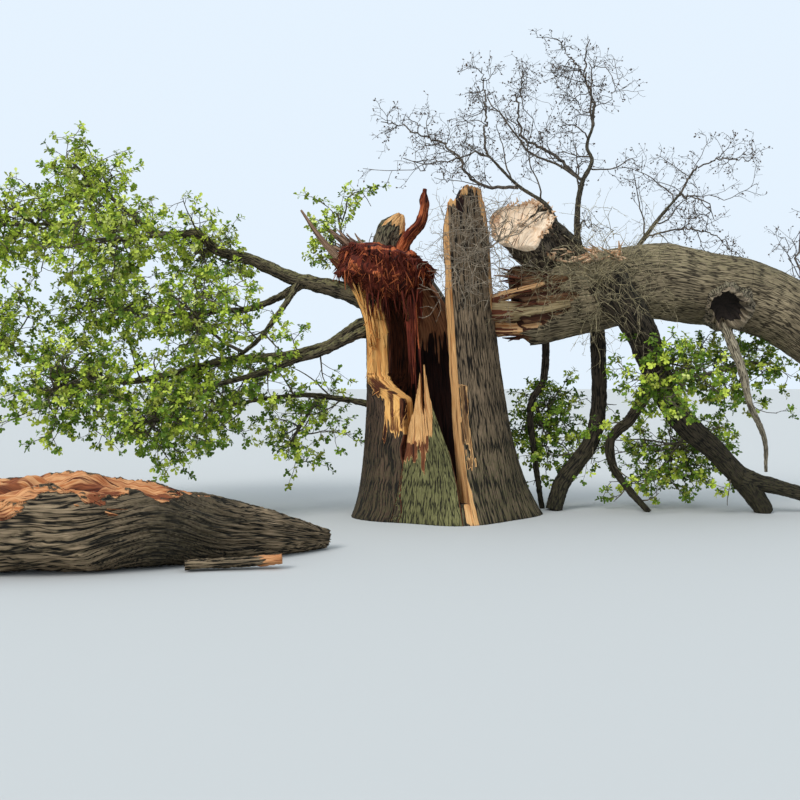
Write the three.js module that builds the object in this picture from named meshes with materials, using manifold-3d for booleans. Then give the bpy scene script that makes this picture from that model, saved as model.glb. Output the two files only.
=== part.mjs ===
// A storm-broken old oak, in millimetres, +Z up. The hollow trunk stands split into a left and a right stem,
// the left one still carries leafy boughs, and the right-hand stem has torn off, hangs on the trunk and rests on
// its own limbs. A torn-off log lies in front. The origin is the middle of the flat cut under the trunk.
import * as THREE from "three";
import { mergeVertices } from "three/addons/utils/BufferGeometryUtils.js";
import Module from "manifold-3d";

const wasm = await Module();
wasm.setup();

// Driving sizes
const CLEAR = 0.3; // gap between a piece and the one that carries it
const SLANT = 2; // widens that gap where a leaning face is cut by its neighbour
const FOOT_TOP = 250; // height of the root collar, on which the split stems stand
const TRUNK_RADIUS = 840; // above the root flare
const FLARE = 400; // what the root flare adds at the ground
const FLARE_HEIGHT = 950; // how fast the flare dies out upwards
const TRUNK_LEAN = -0.065; // sideways run of the trunk's axis for each unit of height
const SHELL = 290; // sound wood round the hollow
const LEAF_SPRAY = 500; // one blade stands for a spray of young leaves
const LEAF_WIDTH = 0.68; // as a share of its length
const LEAF_THICKNESS = 0.07;
const LEAF_BROADEST = 0.4; // how far along it the blade is widest
const LEAF_SUNK = 4; // how far its root reaches past the middle of the twig
const LEAF_APART = 0.62; // between the middles of two blades, as a share of their length
const SPACE_GAP = 0.05; // between the spaces of two masses, as a share of their reach
const DEGREE = Math.PI / 180;

const FINISHES = {
  bark: { color: 0x5f574a, roughness: 0.95 },
  mossy_bark: { color: 0x6b6a48, roughness: 0.95 },
  torn_wood: { color: 0xc98f55, roughness: 0.8 },
  rotten_wood: { color: 0x5e2115, roughness: 0.95 },
  twig: { color: 0x5a5143, roughness: 0.9 },
  leaf: { color: 0x7fa336, roughness: 0.6 },
};

function seeded(seed) {
  let state = seed;
  return () => {
    state = (state + 0x6d2b79f5) | 0;
    let mixed = Math.imul(state ^ (state >>> 15), 1 | state);
    mixed = (mixed + Math.imul(mixed ^ (mixed >>> 7), 61 | mixed)) ^ mixed;
    return ((mixed ^ (mixed >>> 14)) >>> 0) / 4294967296;
  };
}

const lerp = THREE.MathUtils.lerp;
const vector = (point) => new THREE.Vector3(...point);

function solidOf(geometry) {
  geometry.deleteAttribute("normal");
  geometry.deleteAttribute("uv");
  const merged = mergeVertices(geometry, 0.01);
  return new wasm.Manifold(
    new wasm.Mesh({
      numProp: 3,
      vertProperties: merged.attributes.position.array,
      triVerts: new Uint32Array(merged.index.array),
    }),
  );
}

function moveVertices(geometry, place) {
  const position = geometry.attributes.position;
  for (let i = 0; i < position.count; i++) {
    const moved = place(position.getX(i), position.getY(i), position.getZ(i));
    position.setXYZ(i, ...moved);
  }
  return geometry;
}

// The assembly: each piece is cut clear of the pieces that carry it
const tree = new THREE.Group();
const grown = new Map(); // each piece with its clearance added, to cut its neighbours with

function largest(solid) {
  return solid.decompose().reduce((a, b) => (a.volume() > b.volume() ? a : b));
}

function show(name, finish, solid) {
  const made = solid.getMesh();
  const geometry = new THREE.BufferGeometry();
  geometry.setAttribute("position", new THREE.BufferAttribute(made.vertProperties, 3));
  geometry.setIndex(new THREE.BufferAttribute(made.triVerts, 1));
  const material = new THREE.MeshStandardMaterial({ ...FINISHES[finish], metalness: 0 });
  const mesh = new THREE.Mesh(geometry, material);
  mesh.name = name;
  tree.add(mesh);
}

function add(name, finish, build, neighbours = []) {
  const carried = neighbours.reduce((solid, other) => solid.subtract(grown.get(other)), build(0));
  grown.set(name, build(CLEAR));
  show(name, finish, largest(carried));
}

// Trunk: root collar and the shells of the split stems

function trunkRadius(angle, z) {
  const buttress = 1 + 0.06 * Math.exp(-z / 450) * Math.cos(5 * angle + 0.6);
  return (TRUNK_RADIUS + FLARE * Math.exp(-z / FLARE_HEIGHT)) * buttress;
}

function rootCollar(grow) {
  const collar = new THREE.CylinderGeometry(1, 1, 1, 30, 1);
  return solidOf(
    moveVertices(collar, (x, y, z) => {
      const height = y > 0 ? FOOT_TOP + grow : 0;
      const angle = Math.atan2(-z, x);
      const radius = Math.hypot(x, z) * (trunkRadius(angle, height) + grow);
      return [TRUNK_LEAN * height + radius * Math.cos(angle), radius * Math.sin(angle), height];
    }),
  );
}

// A standing stretch of the hollow trunk. from and to give its edges in degrees at a height, and bark is 1 on the
// bark side and 0 on the hollow side. rim gives the torn top's height across it, and lean its own lean at a height.
function shell({ from, to, rim, columns, rows, thick = SHELL, lean = () => 0 }) {
  return (grow) => {
    const slab = new THREE.BoxGeometry(1, 1, 1, columns, 1, rows);
    const foot = FOOT_TOP + CLEAR - grow;
    return solidOf(
      moveVertices(slab, (x, y, z) => {
        const across = 0.5 - x;
        const bark = y + 0.5;
        const height = lerp(foot, rim(across) + grow * 2 * SLANT, z + 0.5);
        const edge = across === 0 ? -grow : across === 1 ? grow : 0;
        const angle = lerp(from(height, bark), to(height, bark), across) * DEGREE + (edge * SLANT) / TRUNK_RADIUS;
        const radius = trunkRadius(angle, height) - thick * (1 - bark) + grow * SLANT * (2 * bark - 1);
        return [
          TRUNK_LEAN * height + lean(height) + radius * Math.cos(angle),
          radius * Math.sin(angle),
          height,
        ];
      }),
    );
  };
}

// Heights of a torn edge: a smooth line with seeded jags on it
function tornRim(line, columns, jag, seed) {
  const random = seeded(seed);
  const jags = Array.from({ length: columns + 1 }, () => (random() - 0.5) * 2 * jag);
  return (across) => line(across) + jags[Math.round(across * columns)];
}

const BACK_SEAM = 62; // degrees, where the right stem and the back wall part
const LEFT_SEAM = 118;
const SEAM = 0.03;

function rightStemTop(across) {
  // a low peak beside the split face, a notch, then the tall peak, falling to the back
  const peak = 4170 - 4600 * Math.max(0, Math.abs(across - 0.24) - 0.1);
  return Math.max(peak, across < 0.12 ? 3960 : 3150);
}

function leftStemLean(height) {
  return height > 2300 ? -350 * ((height - 2300) / 930) ** 2 : 0;
}

// The left stem's bark reaches round to the front low down, and is torn away to the split face above
function leftStemFront(height) {
  return lerp(241, 191, THREE.MathUtils.smoothstep(height, 1480, 1880));
}

// The wedge has two spikes: the taller one beside the right stem
function wedgeTop(across) {
  return [1230, 1560, 1880, 1290, 1960, 1580, 900][Math.round(across * 6)];
}

add("trunk_foot", "bark", rootCollar);
add("trunk_right_stem", "bark", shell({
  from: (height, bark) => lerp(lerp(-80, -64, height / 4300), lerp(-75.5, -70, height / 4300), bark),
  to: () => BACK_SEAM,
  rim: tornRim(rightStemTop, 14, 70, 3),
  columns: 14,
  rows: 7,
}));
add("trunk_back_wall", "rotten_wood", shell({
  from: () => BACK_SEAM + SEAM,
  to: () => LEFT_SEAM,
  rim: tornRim((across) => 3470 - 190 * across, 6, 90, 8),
  columns: 6,
  rows: 6,
  lean: leftStemLean,
  thick: 240,
}), ["trunk_right_stem"]);
add("trunk_left_stem", "bark", shell({
  from: () => LEFT_SEAM + SEAM,
  to: (height) => leftStemFront(height),
  rim: tornRim((across) => 3230 + 60 * across, 10, 80, 5),
  columns: 10,
  rows: 8,
  lean: leftStemLean,
}), ["trunk_back_wall"]);
add("trunk_front_wedge", "bark", shell({
  from: (height) => lerp(-125, -106, height / 1950) - 0.6,
  to: (height, bark) => lerp(-79, -92, height / 1950) - 2 * (1 - bark),
  rim: wedgeTop,
  columns: 6,
  rows: 5,
  thick: 150,
}), ["trunk_right_stem", "trunk_left_stem"]);

// Limbs: one tapering round timber along a route, cut where it would reach below the ground. torn is how far the
// splinters of its root end stand out.

const LIMBS = new Map();

function limbCurve({ route, part = [0, 1] }) {
  const whole = new THREE.CatmullRomCurve3(route.map(vector), false, "centripetal");
  const [low, high] = part;
  return {
    point: (along) => whole.getPointAt(lerp(low, high, along)),
    tangent: (along) => whole.getTangentAt(lerp(low, high, along)),
    length: whole.getLength() * (high - low),
  };
}

function limbRadius({ root, tip, bulge = 0 }, along) {
  return lerp(root, tip, along) + bulge * Math.sin(Math.PI * along);
}

function limbSolid(limb) {
  return (grow) => {
    const { sides, rings, seed = 1, pointed = false, torn = 0 } = limb;
    const curve = limbCurve(limb);
    const random = seeded(seed);
    const rough = Array.from({ length: sides }, () => 1 + (random() - 0.5) * 0.14);
    const jags = Array.from({ length: sides }, () => random() * torn);
    const side = new THREE.Vector3(0.13, 0.21, 0.97);
    const round = new THREE.CylinderGeometry(pointed ? 0 : 1, 1, 1, sides, rings);
    moveVertices(round, (x, y, z) => {
      const along = Math.round((y + 0.5) * rings) / rings;
      const tangent = curve.tangent(along);
      const across = new THREE.Vector3().crossVectors(side, tangent).normalize();
      const up = new THREE.Vector3().crossVectors(tangent, across);
      const corner = (Math.round((Math.atan2(x, z) / (2 * Math.PI)) * sides) + sides) % sides;
      const radius = (limbRadius(limb, along) * rough[corner] + grow * 1.2) * Math.hypot(x, z);
      const angle = Math.atan2(x, z);
      const isRim = Math.hypot(x, z) > 0.5;
      const end = along === 0 ? -grow - (isRim ? jags[corner] : 0) : along === 1 ? grow : 0;
      return curve
        .point(along)
        .addScaledVector(tangent, end)
        .addScaledVector(across, radius * Math.cos(angle))
        .addScaledVector(up, radius * Math.sin(angle))
        .toArray();
    });
    const timber = solidOf(round);
    return timber.boundingBox().min[2] < 0 ? timber.trimByPlane([0, 0, 1], 0) : timber;
  };
}

function addLimb(name, finish, limb, neighbours = []) {
  const shaped = { sides: 6, rings: 6, ...limb };
  LIMBS.set(name, shaped);
  add(name, finish, limbSolid(shaped), neighbours);
}

// Rotten heart: a shredded plug of decayed wood that closes the hollow's top

const HEART = { centre: [-730, -120, 3190], reach: [585, 560, 330], jag: 0.13 };

function rottenHeart(grow) {
  const lump = new THREE.IcosahedronGeometry(1, 2);
  const random = seeded(21);
  const jags = new Map();
  return solidOf(
    moveVertices(lump, (x, y, z) => {
      const key = [x, y, z].map((n) => n.toFixed(3)).join();
      if (!jags.has(key)) jags.set(key, 1 + (random() - 0.5) * 2 * HEART.jag);
      const wider = 1 + 0.28 * z; // it overhangs at the top
      const push = jags.get(key);
      return [x, y, z].map(
        (n, i) => HEART.centre[i] + n * push * (i < 2 ? wider : 1) * (HEART.reach[i] + grow),
      );
    }),
  );
}

const STEMS = ["trunk_right_stem", "trunk_back_wall", "trunk_left_stem"];
add("rotten_heart", "rotten_wood", rottenHeart, STEMS);
addLimb("heart_strip", "rotten_wood", {
  route: [[-455, -330, 3080], [-450, -430, 2500], [-430, -520, 1700]], root: 62, tip: 40, sides: 5, rings: 4,
}, ["rotten_heart", "trunk_front_wedge"]);
addLimb("long_splinter", "torn_wood", {
  route: [[-1230, 0, 3150], [-1340, 10, 3330], [-1620, 40, 3640], [-1890, 70, 4030]], root: 70, tip: 12, sides: 5, rings: 5,
}, ["rotten_heart", "trunk_left_stem"]);
addLimb("short_splinters", "torn_wood", {
  route: [[-1000, 30, 3330], [-1160, 60, 3480], [-1500, 120, 3700]], root: 130, tip: 34, sides: 7, rings: 3, seed: 6,
}, ["rotten_heart", "trunk_left_stem", "long_splinter"]);
addLimb("knob_stub", "bark", {
  route: [[-800, 0, 3330], [-730, 10, 3620], [-560, 20, 3960]], root: 150, tip: 105, sides: 8, rings: 3, seed: 9,
}, ["rotten_heart"]);
addLimb("curved_splinter", "rotten_wood", {
  route: [[-560, -60, 3400], [-480, -70, 3620], [-290, -60, 3870], [-240, -50, 4290]], root: 62, tip: 14, sides: 5, rings: 6,
}, ["rotten_heart", "knob_stub"]);

// Fallen stem: one long tapering timber from the tear at the trunk, arched over and down to the ground.
// It is split where it bends.

const FALLEN = {
  route: [
    [1090, 0, 2800], [1950, 0, 2922], [2760, 50, 3073], [3440, 100, 2990], [4000, 150, 2925],
    [4580, 200, 2700], [5400, 240, 2080], [6200, 200, 1330], [7050, 100, 480],
  ],
  root: 560,
  tip: 330,
};
const FALLEN_CUTS = [0, 0.42, 0.7, 1]; // shares of its length where the pieces meet
const FALLEN_NAMES = ["fallen_stem_butt", "fallen_stem_arch", "fallen_stem_end"];
const FALLEN_LENGTH = limbCurve(FALLEN).length;

FALLEN_NAMES.forEach((name, i) => {
  const half = (CLEAR * 0.5) / FALLEN_LENGTH;
  const part = [FALLEN_CUTS[i] + (i ? half : 0), FALLEN_CUTS[i + 1] - (i < 2 ? half : 0)];
  const [root, tip] = part.map((share) => limbRadius(FALLEN, share));
  const torn = i === 0 ? 260 : 0;
  addLimb(name, "mossy_bark", { ...FALLEN, part, root, tip, torn, sides: 12, rings: 5, seed: 14 });
});
addLimb("torn_slab", "torn_wood", {
  route: [[640, -120, 2620], [900, -130, 2560], [1700, -150, 2560]], root: 225, tip: 170, sides: 7, rings: 3, seed: 17,
}, ["trunk_right_stem", "fallen_stem_butt"]);
addLimb("broken_stub", "torn_wood", {
  route: [[1850, 350, 3180], [1350, -60, 3520], [950, -490, 3800]], root: 330, tip: 400, sides: 11, rings: 3, seed: 23,
}, ["fallen_stem_butt", "trunk_right_stem"]);

// Knot: a burr round a rotted branch hole
const KNOT = {
  route: [[3760, 20, 2860], [3690, -240, 2740], [3650, -440, 2660]], root: 300, tip: 245, sides: 9, rings: 2, seed: 29,
};
const KNOT_HOLE = {
  route: [[3684, -270, 2728], [3640, -490, 2640]], root: 90, tip: 165, sides: 7, rings: 1, seed: 4,
};
add("knot_burr", "bark", (grow) => limbSolid(KNOT)(grow).subtract(limbSolid(KNOT_HOLE)(-grow)), [
  "fallen_stem_butt", "fallen_stem_arch",
]);
LIMBS.set("knot_burr", KNOT);

// Limbs of the fallen stem that prop it, hang from it or stand up from it
addLimb("prop_limb", "bark", {
  route: [
    [2060, -440, 3070], [2340, -490, 2660], [2590, -370, 2280], [2760, -230, 1890], [3084, -160, 1306],
    [3645, -140, 760], [4138, -60, 215], [4293, 0, 10],
  ],
  root: 215, tip: 120, sides: 8, rings: 9,
}, ["fallen_stem_butt"]);
addLimb("prop_fork", "bark", {
  route: [[3900, -90, 480], [4402, -60, 348], [4830, 0, 230], [5330, 60, 20]], root: 120, tip: 75, rings: 5,
}, ["prop_limb"]);
addLimb("left_prop", "bark", {
  route: [[2080, 200, 2800], [2130, 330, 1305], [2022, 330, 895], [1623, 300, 338], [1520, 260, -30]],
  root: 100, tip: 120, rings: 8,
}, ["fallen_stem_butt"]);
addLimb("thin_prop", "bark", {
  route: [[1400, 250, 2700], [1386, 380, 1755], [1225, 400, 1453], [1290, 420, 643], [1390, 470, -20]],
  root: 62, tip: 40, rings: 7, sides: 5,
}, ["fallen_stem_butt"]);
addLimb("crooked_branch", "bark", {
  route: [[2780, -60, 1780], [2517, 60, 1259], [2250, 90, 961], [2290, 120, 624], [2500, 120, 300], [2763, 60, -10]],
  root: 92, tip: 42, rings: 8, sides: 5,
}, ["prop_limb", "left_prop"]);
addLimb("hanging_branch", "bark", {
  route: [[3640, -90, 2720], [3700, -260, 2380], [3864, -330, 1894], [3963, -350, 1454], [4150, -360, 1000], [4164, -380, 575]],
  root: 82, tip: 24, sides: 5, rings: 7,
}, ["fallen_stem_butt", "fallen_stem_arch", "knot_burr"]);
addLimb("leader", "bark", {
  route: [[1830, -40, 3200], [1767, -60, 3879], [1829, -80, 4362], [1963, -60, 4655], [1904, -20, 4849], [1992, 30, 5138]],
  root: 62, tip: 22, sides: 5, rings: 8,
}, ["fallen_stem_butt", "broken_stub"]);
addLimb("leader_left", "bark", {
  route: [[1800, -60, 3560], [1485, -400, 3702], [1310, -520, 3981], [932, -520, 4242], [534, -560, 4632]],
  root: 46, tip: 20, sides: 5, rings: 7,
}, ["leader", "broken_stub"]);
addLimb("bare_limb_right", "bark", {
  route: [[2440, 30, 3300], [2705, 100, 3678], [2944, 200, 3975], [3232, 320, 4293]], root: 52, tip: 22, sides: 5,
}, ["fallen_stem_butt"]);
addLimb("end_bough_front", "mossy_bark", {
  route: [[6850, 60, 700], [7350, -420, 620], [7750, -850, 900]], root: 170, tip: 70, rings: 5, sides: 7,
}, ["fallen_stem_end"]);
addLimb("end_bough_back", "mossy_bark", {
  route: [[6700, 150, 880], [7250, 600, 1150], [7700, 900, 1650]], root: 160, tip: 64, rings: 5, sides: 7,
}, ["fallen_stem_end"]);

// Boughs of the left stem
addLimb("upper_bough", "mossy_bark", {
  route: [
    [-900, 0, 2780], [-1221, 0, 2922], [-2053, 80, 3142], [-2525, 120, 3361], [-3028, 160, 3513],
    [-3291, 200, 3720], [-3812, 240, 3739], [-4248, 260, 4039],
  ],
  root: 120, tip: 42, sides: 7, rings: 10,
}, ["trunk_left_stem", "rotten_heart"]);
addLimb("upper_branch_back", "mossy_bark", {
  route: [[-1850, 60, 3070], [-2180, 250, 2904], [-2654, 520, 2749], [-3087, 700, 2735], [-4000, 900, 2650]],
  root: 58, tip: 32, sides: 5, rings: 7,
}, ["upper_bough"]);
addLimb("upper_branch_front", "mossy_bark", {
  route: [[-1904, 60, 3080], [-2099, -100, 2741], [-2413, -400, 2267], [-2601, -520, 2096]], root: 48, tip: 30, sides: 5,
}, ["upper_bough", "upper_branch_back"]);
addLimb("middle_bough_back", "bark", {
  route: [[-820, 60, 2520], [-1104, 60, 2501], [-1558, 250, 2228], [-2274, 450, 2085], [-2960, 560, 2040], [-4300, 350, 1750], [-5300, 200, 1950]],
  root: 84, tip: 34, sides: 6, rings: 10,
}, ["trunk_left_stem"]);
addLimb("middle_bough_front", "bark", {
  route: [[-860, -100, 2400], [-1071, -130, 2380], [-1595, -320, 2128], [-1922, -420, 2022], [-2333, -560, 1853], [-2900, -700, 1700]],
  root: 70, tip: 34, sides: 5, rings: 8,
}, ["trunk_left_stem"]);
addLimb("low_bough", "bark", {
  route: [[-850, 60, 1400], [-1051, 60, 1460], [-1736, 100, 1560], [-2192, 100, 1539], [-2900, 80, 1420]],
  root: 48, tip: 26, sides: 5, rings: 7,
}, ["trunk_left_stem"]);

// Log: a torn-off length of stem that lies in front, fullest at its middle, with a whole round end at the right.
// Its upper side is split off in two faces that rise to the back.
const LOG = {
  route: [
    [-1350, -2900, 105], [-1700, -3230, 190], [-2050, -3480, 260], [-2400, -3680, 320], [-2850, -3890, 380],
    [-3350, -4080, 440], [-3900, -4190, 470], [-4500, -4230, 470], [-5150, -4180, 450],
  ],
  root: 110, tip: 480, bulge: 130, sides: 12, rings: 9, seed: 33,
};
const LOG_SPLITS = [
  { rise: [0, 0.42], height: 2535 }, // height over the origin, and the rise for each unit of x and y
  { rise: [-0.348, 0.43], height: 1364 },
];

function logSolid(grow) {
  return LOG_SPLITS.reduce((log, { rise, height }) => {
    const downwards = new THREE.Vector3(...rise, -1);
    return log.trimByPlane(downwards.clone().normalize().toArray(), -(height + grow) / downwards.length());
  }, limbSolid(LOG)(grow));
}
add("fallen_log", "bark", logSolid);

// Masses of leaves and of bare twigs. Each keeps to its own space, an ellipsoid, and grows from one stem that
// starts at a limb. Twigs run from the stem to points spread evenly over the space. leaves and twiglets are the
// counts that one twig bears.

const MASSES = [
  { name: "leaves_peak", limb: "upper_bough", at: 1, centre: [-4800, 150, 4660], reach: [720, 850, 620], twigs: 6, leaves: 3 },
  { name: "leaves_top_left", limb: "upper_bough", at: 0.94, centre: [-5740, -150, 3800], reach: [980, 1050, 720], twigs: 6, leaves: 3 },
  { name: "leaves_upper_front", limb: "upper_bough", at: 0.8, centre: [-4260, -850, 3510], reach: [930, 800, 620], twigs: 6, leaves: 3 },
  { name: "leaves_upper_right", limb: "upper_bough", at: 0.62, centre: [-3230, 350, 3540], reach: [790, 800, 520], twigs: 5, leaves: 3 },
  { name: "leaves_behind_top", limb: "upper_bough", at: 0.1, centre: [-1420, 900, 3950], reach: [780, 500, 480], twigs: 4, leaves: 2 },
  { name: "leaves_centre_back", limb: "upper_branch_back", at: 1, centre: [-4690, 850, 2840], reach: [1060, 850, 740], twigs: 5, leaves: 3 },
  { name: "leaves_middle_front", limb: "upper_branch_front", at: 1, centre: [-3140, -1050, 2620], reach: [830, 760, 610], twigs: 6, leaves: 3 },
  { name: "leaves_far_left", limb: "middle_bough_back", at: 1, centre: [-6300, 150, 2510], reach: [1000, 1150, 800], twigs: 6, leaves: 3 },
  { name: "leaves_low_left", limb: "middle_bough_back", at: 0.86, centre: [-4840, -350, 1700], reach: [970, 1000, 780], twigs: 6, leaves: 3 },
  { name: "leaves_low_front", limb: "middle_bough_front", at: 1, centre: [-3520, -1000, 1330], reach: [860, 800, 710], twigs: 5, leaves: 3 },
  { name: "leaves_low_back", limb: "low_bough", at: 1, centre: [-3290, 650, 1490], reach: [840, 760, 840], twigs: 5, leaves: 3 },
  { name: "leaves_near_trunk", limb: "low_bough", at: 0.4, centre: [-1900, 150, 1160], reach: [640, 760, 680], twigs: 5, leaves: 3 },
  { name: "leaves_right_front", limb: "prop_limb", at: 0.28, centre: [2880, -720, 1800], reach: [640, 500, 680], twigs: 5, leaves: 3 },
  { name: "leaves_right_back", limb: "prop_limb", at: 0.42, centre: [4140, 750, 1940], reach: [870, 660, 700], twigs: 5, leaves: 3 },
  { name: "leaves_under_stem", limb: "thin_prop", at: 0.45, centre: [1480, 850, 1130], reach: [600, 500, 900], twigs: 5, leaves: 3 },
  { name: "leaves_low_right", limb: "prop_limb", at: 0.6, centre: [3250, 760, 700], reach: [1200, 640, 620], twigs: 5, leaves: 3 },
  { name: "leaves_end_front", limb: "end_bough_front", at: 1, centre: [8050, -950, 1150], reach: [780, 820, 700], twigs: 4, leaves: 3 },
  { name: "leaves_end_back", limb: "end_bough_back", at: 1, centre: [7900, 900, 2100], reach: [780, 650, 680], twigs: 4, leaves: 3 },
  { name: "twigs_crown_top", limb: "leader", at: 1, centre: [1950, 40, 5600], reach: [800, 700, 820], twigs: 7, twiglets: 3 },
  { name: "twigs_crown_middle", limb: "leader", at: 0.6, centre: [880, 330, 5410], reach: [720, 640, 700], twigs: 6, twiglets: 3 },
  { name: "twigs_crown_left", limb: "leader_left", at: 1, centre: [-230, -560, 4600], reach: [800, 560, 560], twigs: 7, twiglets: 3 },
  { name: "twigs_crown_right", limb: "bare_limb_right", at: 1, centre: [3340, 300, 4170], reach: [950, 740, 740], twigs: 6, twiglets: 3 },
  { name: "twigs_far_right", limb: "fallen_stem_arch", at: 0.55, centre: [4900, 250, 3780], reach: [760, 640, 560], twigs: 6, twiglets: 3 },
  { name: "twigs_before_stem", limb: "fallen_stem_butt", at: 0.45, centre: [1850, -920, 3150], reach: [960, 340, 640], twigs: 5, twiglets: 3 },
  { name: "twigs_before_trunk", limb: "leader_left", at: 0.42, centre: [330, -1180, 3250], reach: [520, 300, 760], twigs: 6, twiglets: 3 },
];
const STEM_SHARE = 0.7; // how much of a limb's radius its mass's stem has at the root
const STEM_END = 20; // radius of a mass's stem at its far end
const TWIG = { sides: 3, rings: 2, root: 15, tip: 8 };
const TWIGLET_SHARE = 0.5; // of the radius of the twig that bears it

function massStem({ limb, at, centre, reach }) {
  const bearer = LIMBS.get(limb);
  const curve = limbCurve(bearer);
  const start = curve.point(at);
  const out = vector(centre).sub(start).normalize();
  const farSide = vector(centre).addScaledVector(out, 0.55 * Math.min(...reach));
  const heading = at === 1 ? curve.tangent(1) : out;
  const back = at === 1 ? start.clone().addScaledVector(heading, -40) : start;
  const width = Math.min(at === 1 ? limbRadius(bearer, 1) * 0.85 : 34, 40);
  const bend = back.clone().lerp(vector(centre), 0.35).addScaledVector(heading, 60);
  const root = Math.max(width * STEM_SHARE + 8, STEM_END + 4);
  return { route: [back, bend, vector(centre), farSide].map((p) => p.toArray()), root, tip: STEM_END };
}

// Samples along limbs and stems, which twigs and leaves keep clear of
function samplesAlong(limb, owner) {
  const curve = limbCurve(limb);
  const count = Math.ceil(curve.length / 70);
  return Array.from({ length: count + 1 }, (_, i) => ({
    point: curve.point(i / count),
    radius: limbRadius(limb, i / count),
    owner,
  }));
}

for (const mass of MASSES) mass.stem = { sides: 3, rings: 3, ...massStem(mass) };
const obstacles = [
  ...[...LIMBS.values()].flatMap((limb) => samplesAlong(limb, null)),
  ...MASSES.flatMap((mass) => samplesAlong(mass.stem, mass.name)),
  ...samplesAlong({ route: [[0, 0, 0], [-230, 0, 3500]], root: 1190, tip: 900 }, null),
  ...samplesAlong({ route: [[-100, 0, 3300], [0, 0, 4300]], root: 640, tip: 620 }, null),
  ...samplesAlong({ route: [[-900, -120, 3190], [-560, -120, 3190]], root: 620, tip: 560 }, null),
  ...samplesAlong(LOG, null),
];

function isClear(point, margin, own) {
  return obstacles.every(
    ({ point: other, radius, owner }) =>
      owner === own || point.distanceToSquared(other) > (radius + margin) ** 2,
  );
}

function level(point, { centre, reach }) {
  return Math.hypot(...point.toArray().map((n, i) => (n - centre[i]) / reach[i]));
}

function isInSpace(point, own) {
  const mine = level(point, own);
  return (
    point.z > 25 && mine < 1 && MASSES.every((m) => m === own || level(point, m) > mine + SPACE_GAP)
  );
}

// A blade of four facets a side, widest nearer its root
function leafBlade(root, heading, length, random) {
  const blade = moveVertices(new THREE.OctahedronGeometry(1), (x, y, z) => [
    length * (x < 0 ? 0 : x > 0 ? 1 : LEAF_BROADEST),
    (y * length * LEAF_WIDTH) / 2,
    (z * length * LEAF_THICKNESS) / 2,
  ]);
  const across = new THREE.Vector3(random() - 0.5, random() - 0.5, random() - 0.5).cross(heading).normalize();
  const turn = new THREE.Matrix4().makeBasis(heading, across, heading.clone().cross(across));
  blade.applyMatrix4(turn.setPosition(root));
  return blade;
}

const cornersOf = ({ attributes: { position } }) =>
  Array.from({ length: position.count }, (_, i) => new THREE.Vector3().fromBufferAttribute(position, i));

const anyWay = (random) => new THREE.Vector3(random() - 0.5, random() - 0.5, random() - 0.5).normalize();

function addLeaves(solids, mass, placed, twig, random) {
  const curve = limbCurve(twig);
  for (let k = 0; k < mass.leaves; k++) {
    const isLast = k === 0;
    for (let attempt = 0; attempt < 8; attempt++) {
      const along = isLast ? 0.95 : lerp(0.12, 0.86, random());
      const heading = curve.tangent(along).addScaledVector(anyWay(random), isLast ? 0.35 : 1.5).normalize();
      const length = LEAF_SPRAY * lerp(0.85, 1.15, random());
      const root = curve.point(along).addScaledVector(heading, -LEAF_SUNK);
      const middle = root.clone().addScaledVector(heading, length / 2);
      if (placed.some((other) => other.distanceTo(middle) < LEAF_APART * length)) continue;
      const blade = leafBlade(root, heading, length, random);
      if (!cornersOf(blade).every((p) => isInSpace(p, mass) && isClear(p, 18, mass.name))) continue;
      solids.push(solidOf(blade));
      placed.push(middle);
      break;
    }
  }
}

function addTwiglets(solids, mass, twig, random) {
  const curve = limbCurve(twig);
  for (let k = 0; k < mass.twiglets; k++) {
    const along = lerp(0.2, 0.9, (k + random()) / mass.twiglets);
    const from = curve.point(along);
    const root = limbRadius(twig, along) * TWIGLET_SHARE;
    const heading = curve.tangent(0.5).add(anyWay(random)).normalize();
    const tip = from.clone().addScaledVector(heading, lerp(200, 380, random()));
    if (!isInSpace(tip, mass) || !isClear(tip, 25, mass.name)) continue;
    const route = [from.toArray(), tip.toArray()];
    solids.push(limbSolid({ route, root, tip: root, sides: 3, rings: 1, pointed: true })(0));
  }
}

// The twigs leave the stem for points spread evenly over the space, each as far out as it can reach
function growMass(mass, seed) {
  const random = seeded(seed);
  const stem = limbCurve(mass.stem);
  const solids = [limbSolid(mass.stem)(0)];
  const placed = [];
  const golden = Math.PI * (3 - Math.sqrt(5));
  for (let i = 0; i < mass.twigs; i++) {
    const height = 1 - (2 * (i + 0.5)) / mass.twigs;
    const ring = Math.sqrt(1 - height * height);
    const way = new THREE.Vector3(ring * Math.cos(golden * i + seed), ring * Math.sin(golden * i + seed), height);
    const from = stem.point(lerp(0.4, 0.95, random()));
    const bow = anyWay(random).multiplyScalar(110);
    for (let share = 0.93; share > 0.35; share -= 0.06) {
      const end = vector(mass.centre).add(way.clone().multiply(vector(mass.reach)).multiplyScalar(share));
      const route = [from, from.clone().lerp(end, 0.55).add(bow), end].map((p) => p.toArray());
      const twig = { ...TWIG, route };
      const curve = limbCurve(twig);
      const stations = [0.35, 0.5, 0.65, 0.8, 0.9, 1].map((t) => curve.point(t));
      if (!stations.every((p) => isInSpace(p, mass) && isClear(p, 25, mass.name))) continue;
      solids.push(limbSolid(twig)(0));
      if (mass.leaves) addLeaves(solids, mass, placed, twig, random);
      if (mass.twiglets) addTwiglets(solids, mass, twig, random);
      break;
    }
  }
  return wasm.Manifold.union(solids);
}

const allTimber = wasm.Manifold.union([...grown.values()]);
MASSES.forEach((mass, i) => {
  const finish = mass.leaves ? "leaf" : "twig";
  show(mass.name, finish, largest(growMass(mass, 100 + 7 * i).subtract(allTimber)));
});

export default tree;
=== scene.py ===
import math

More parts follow.
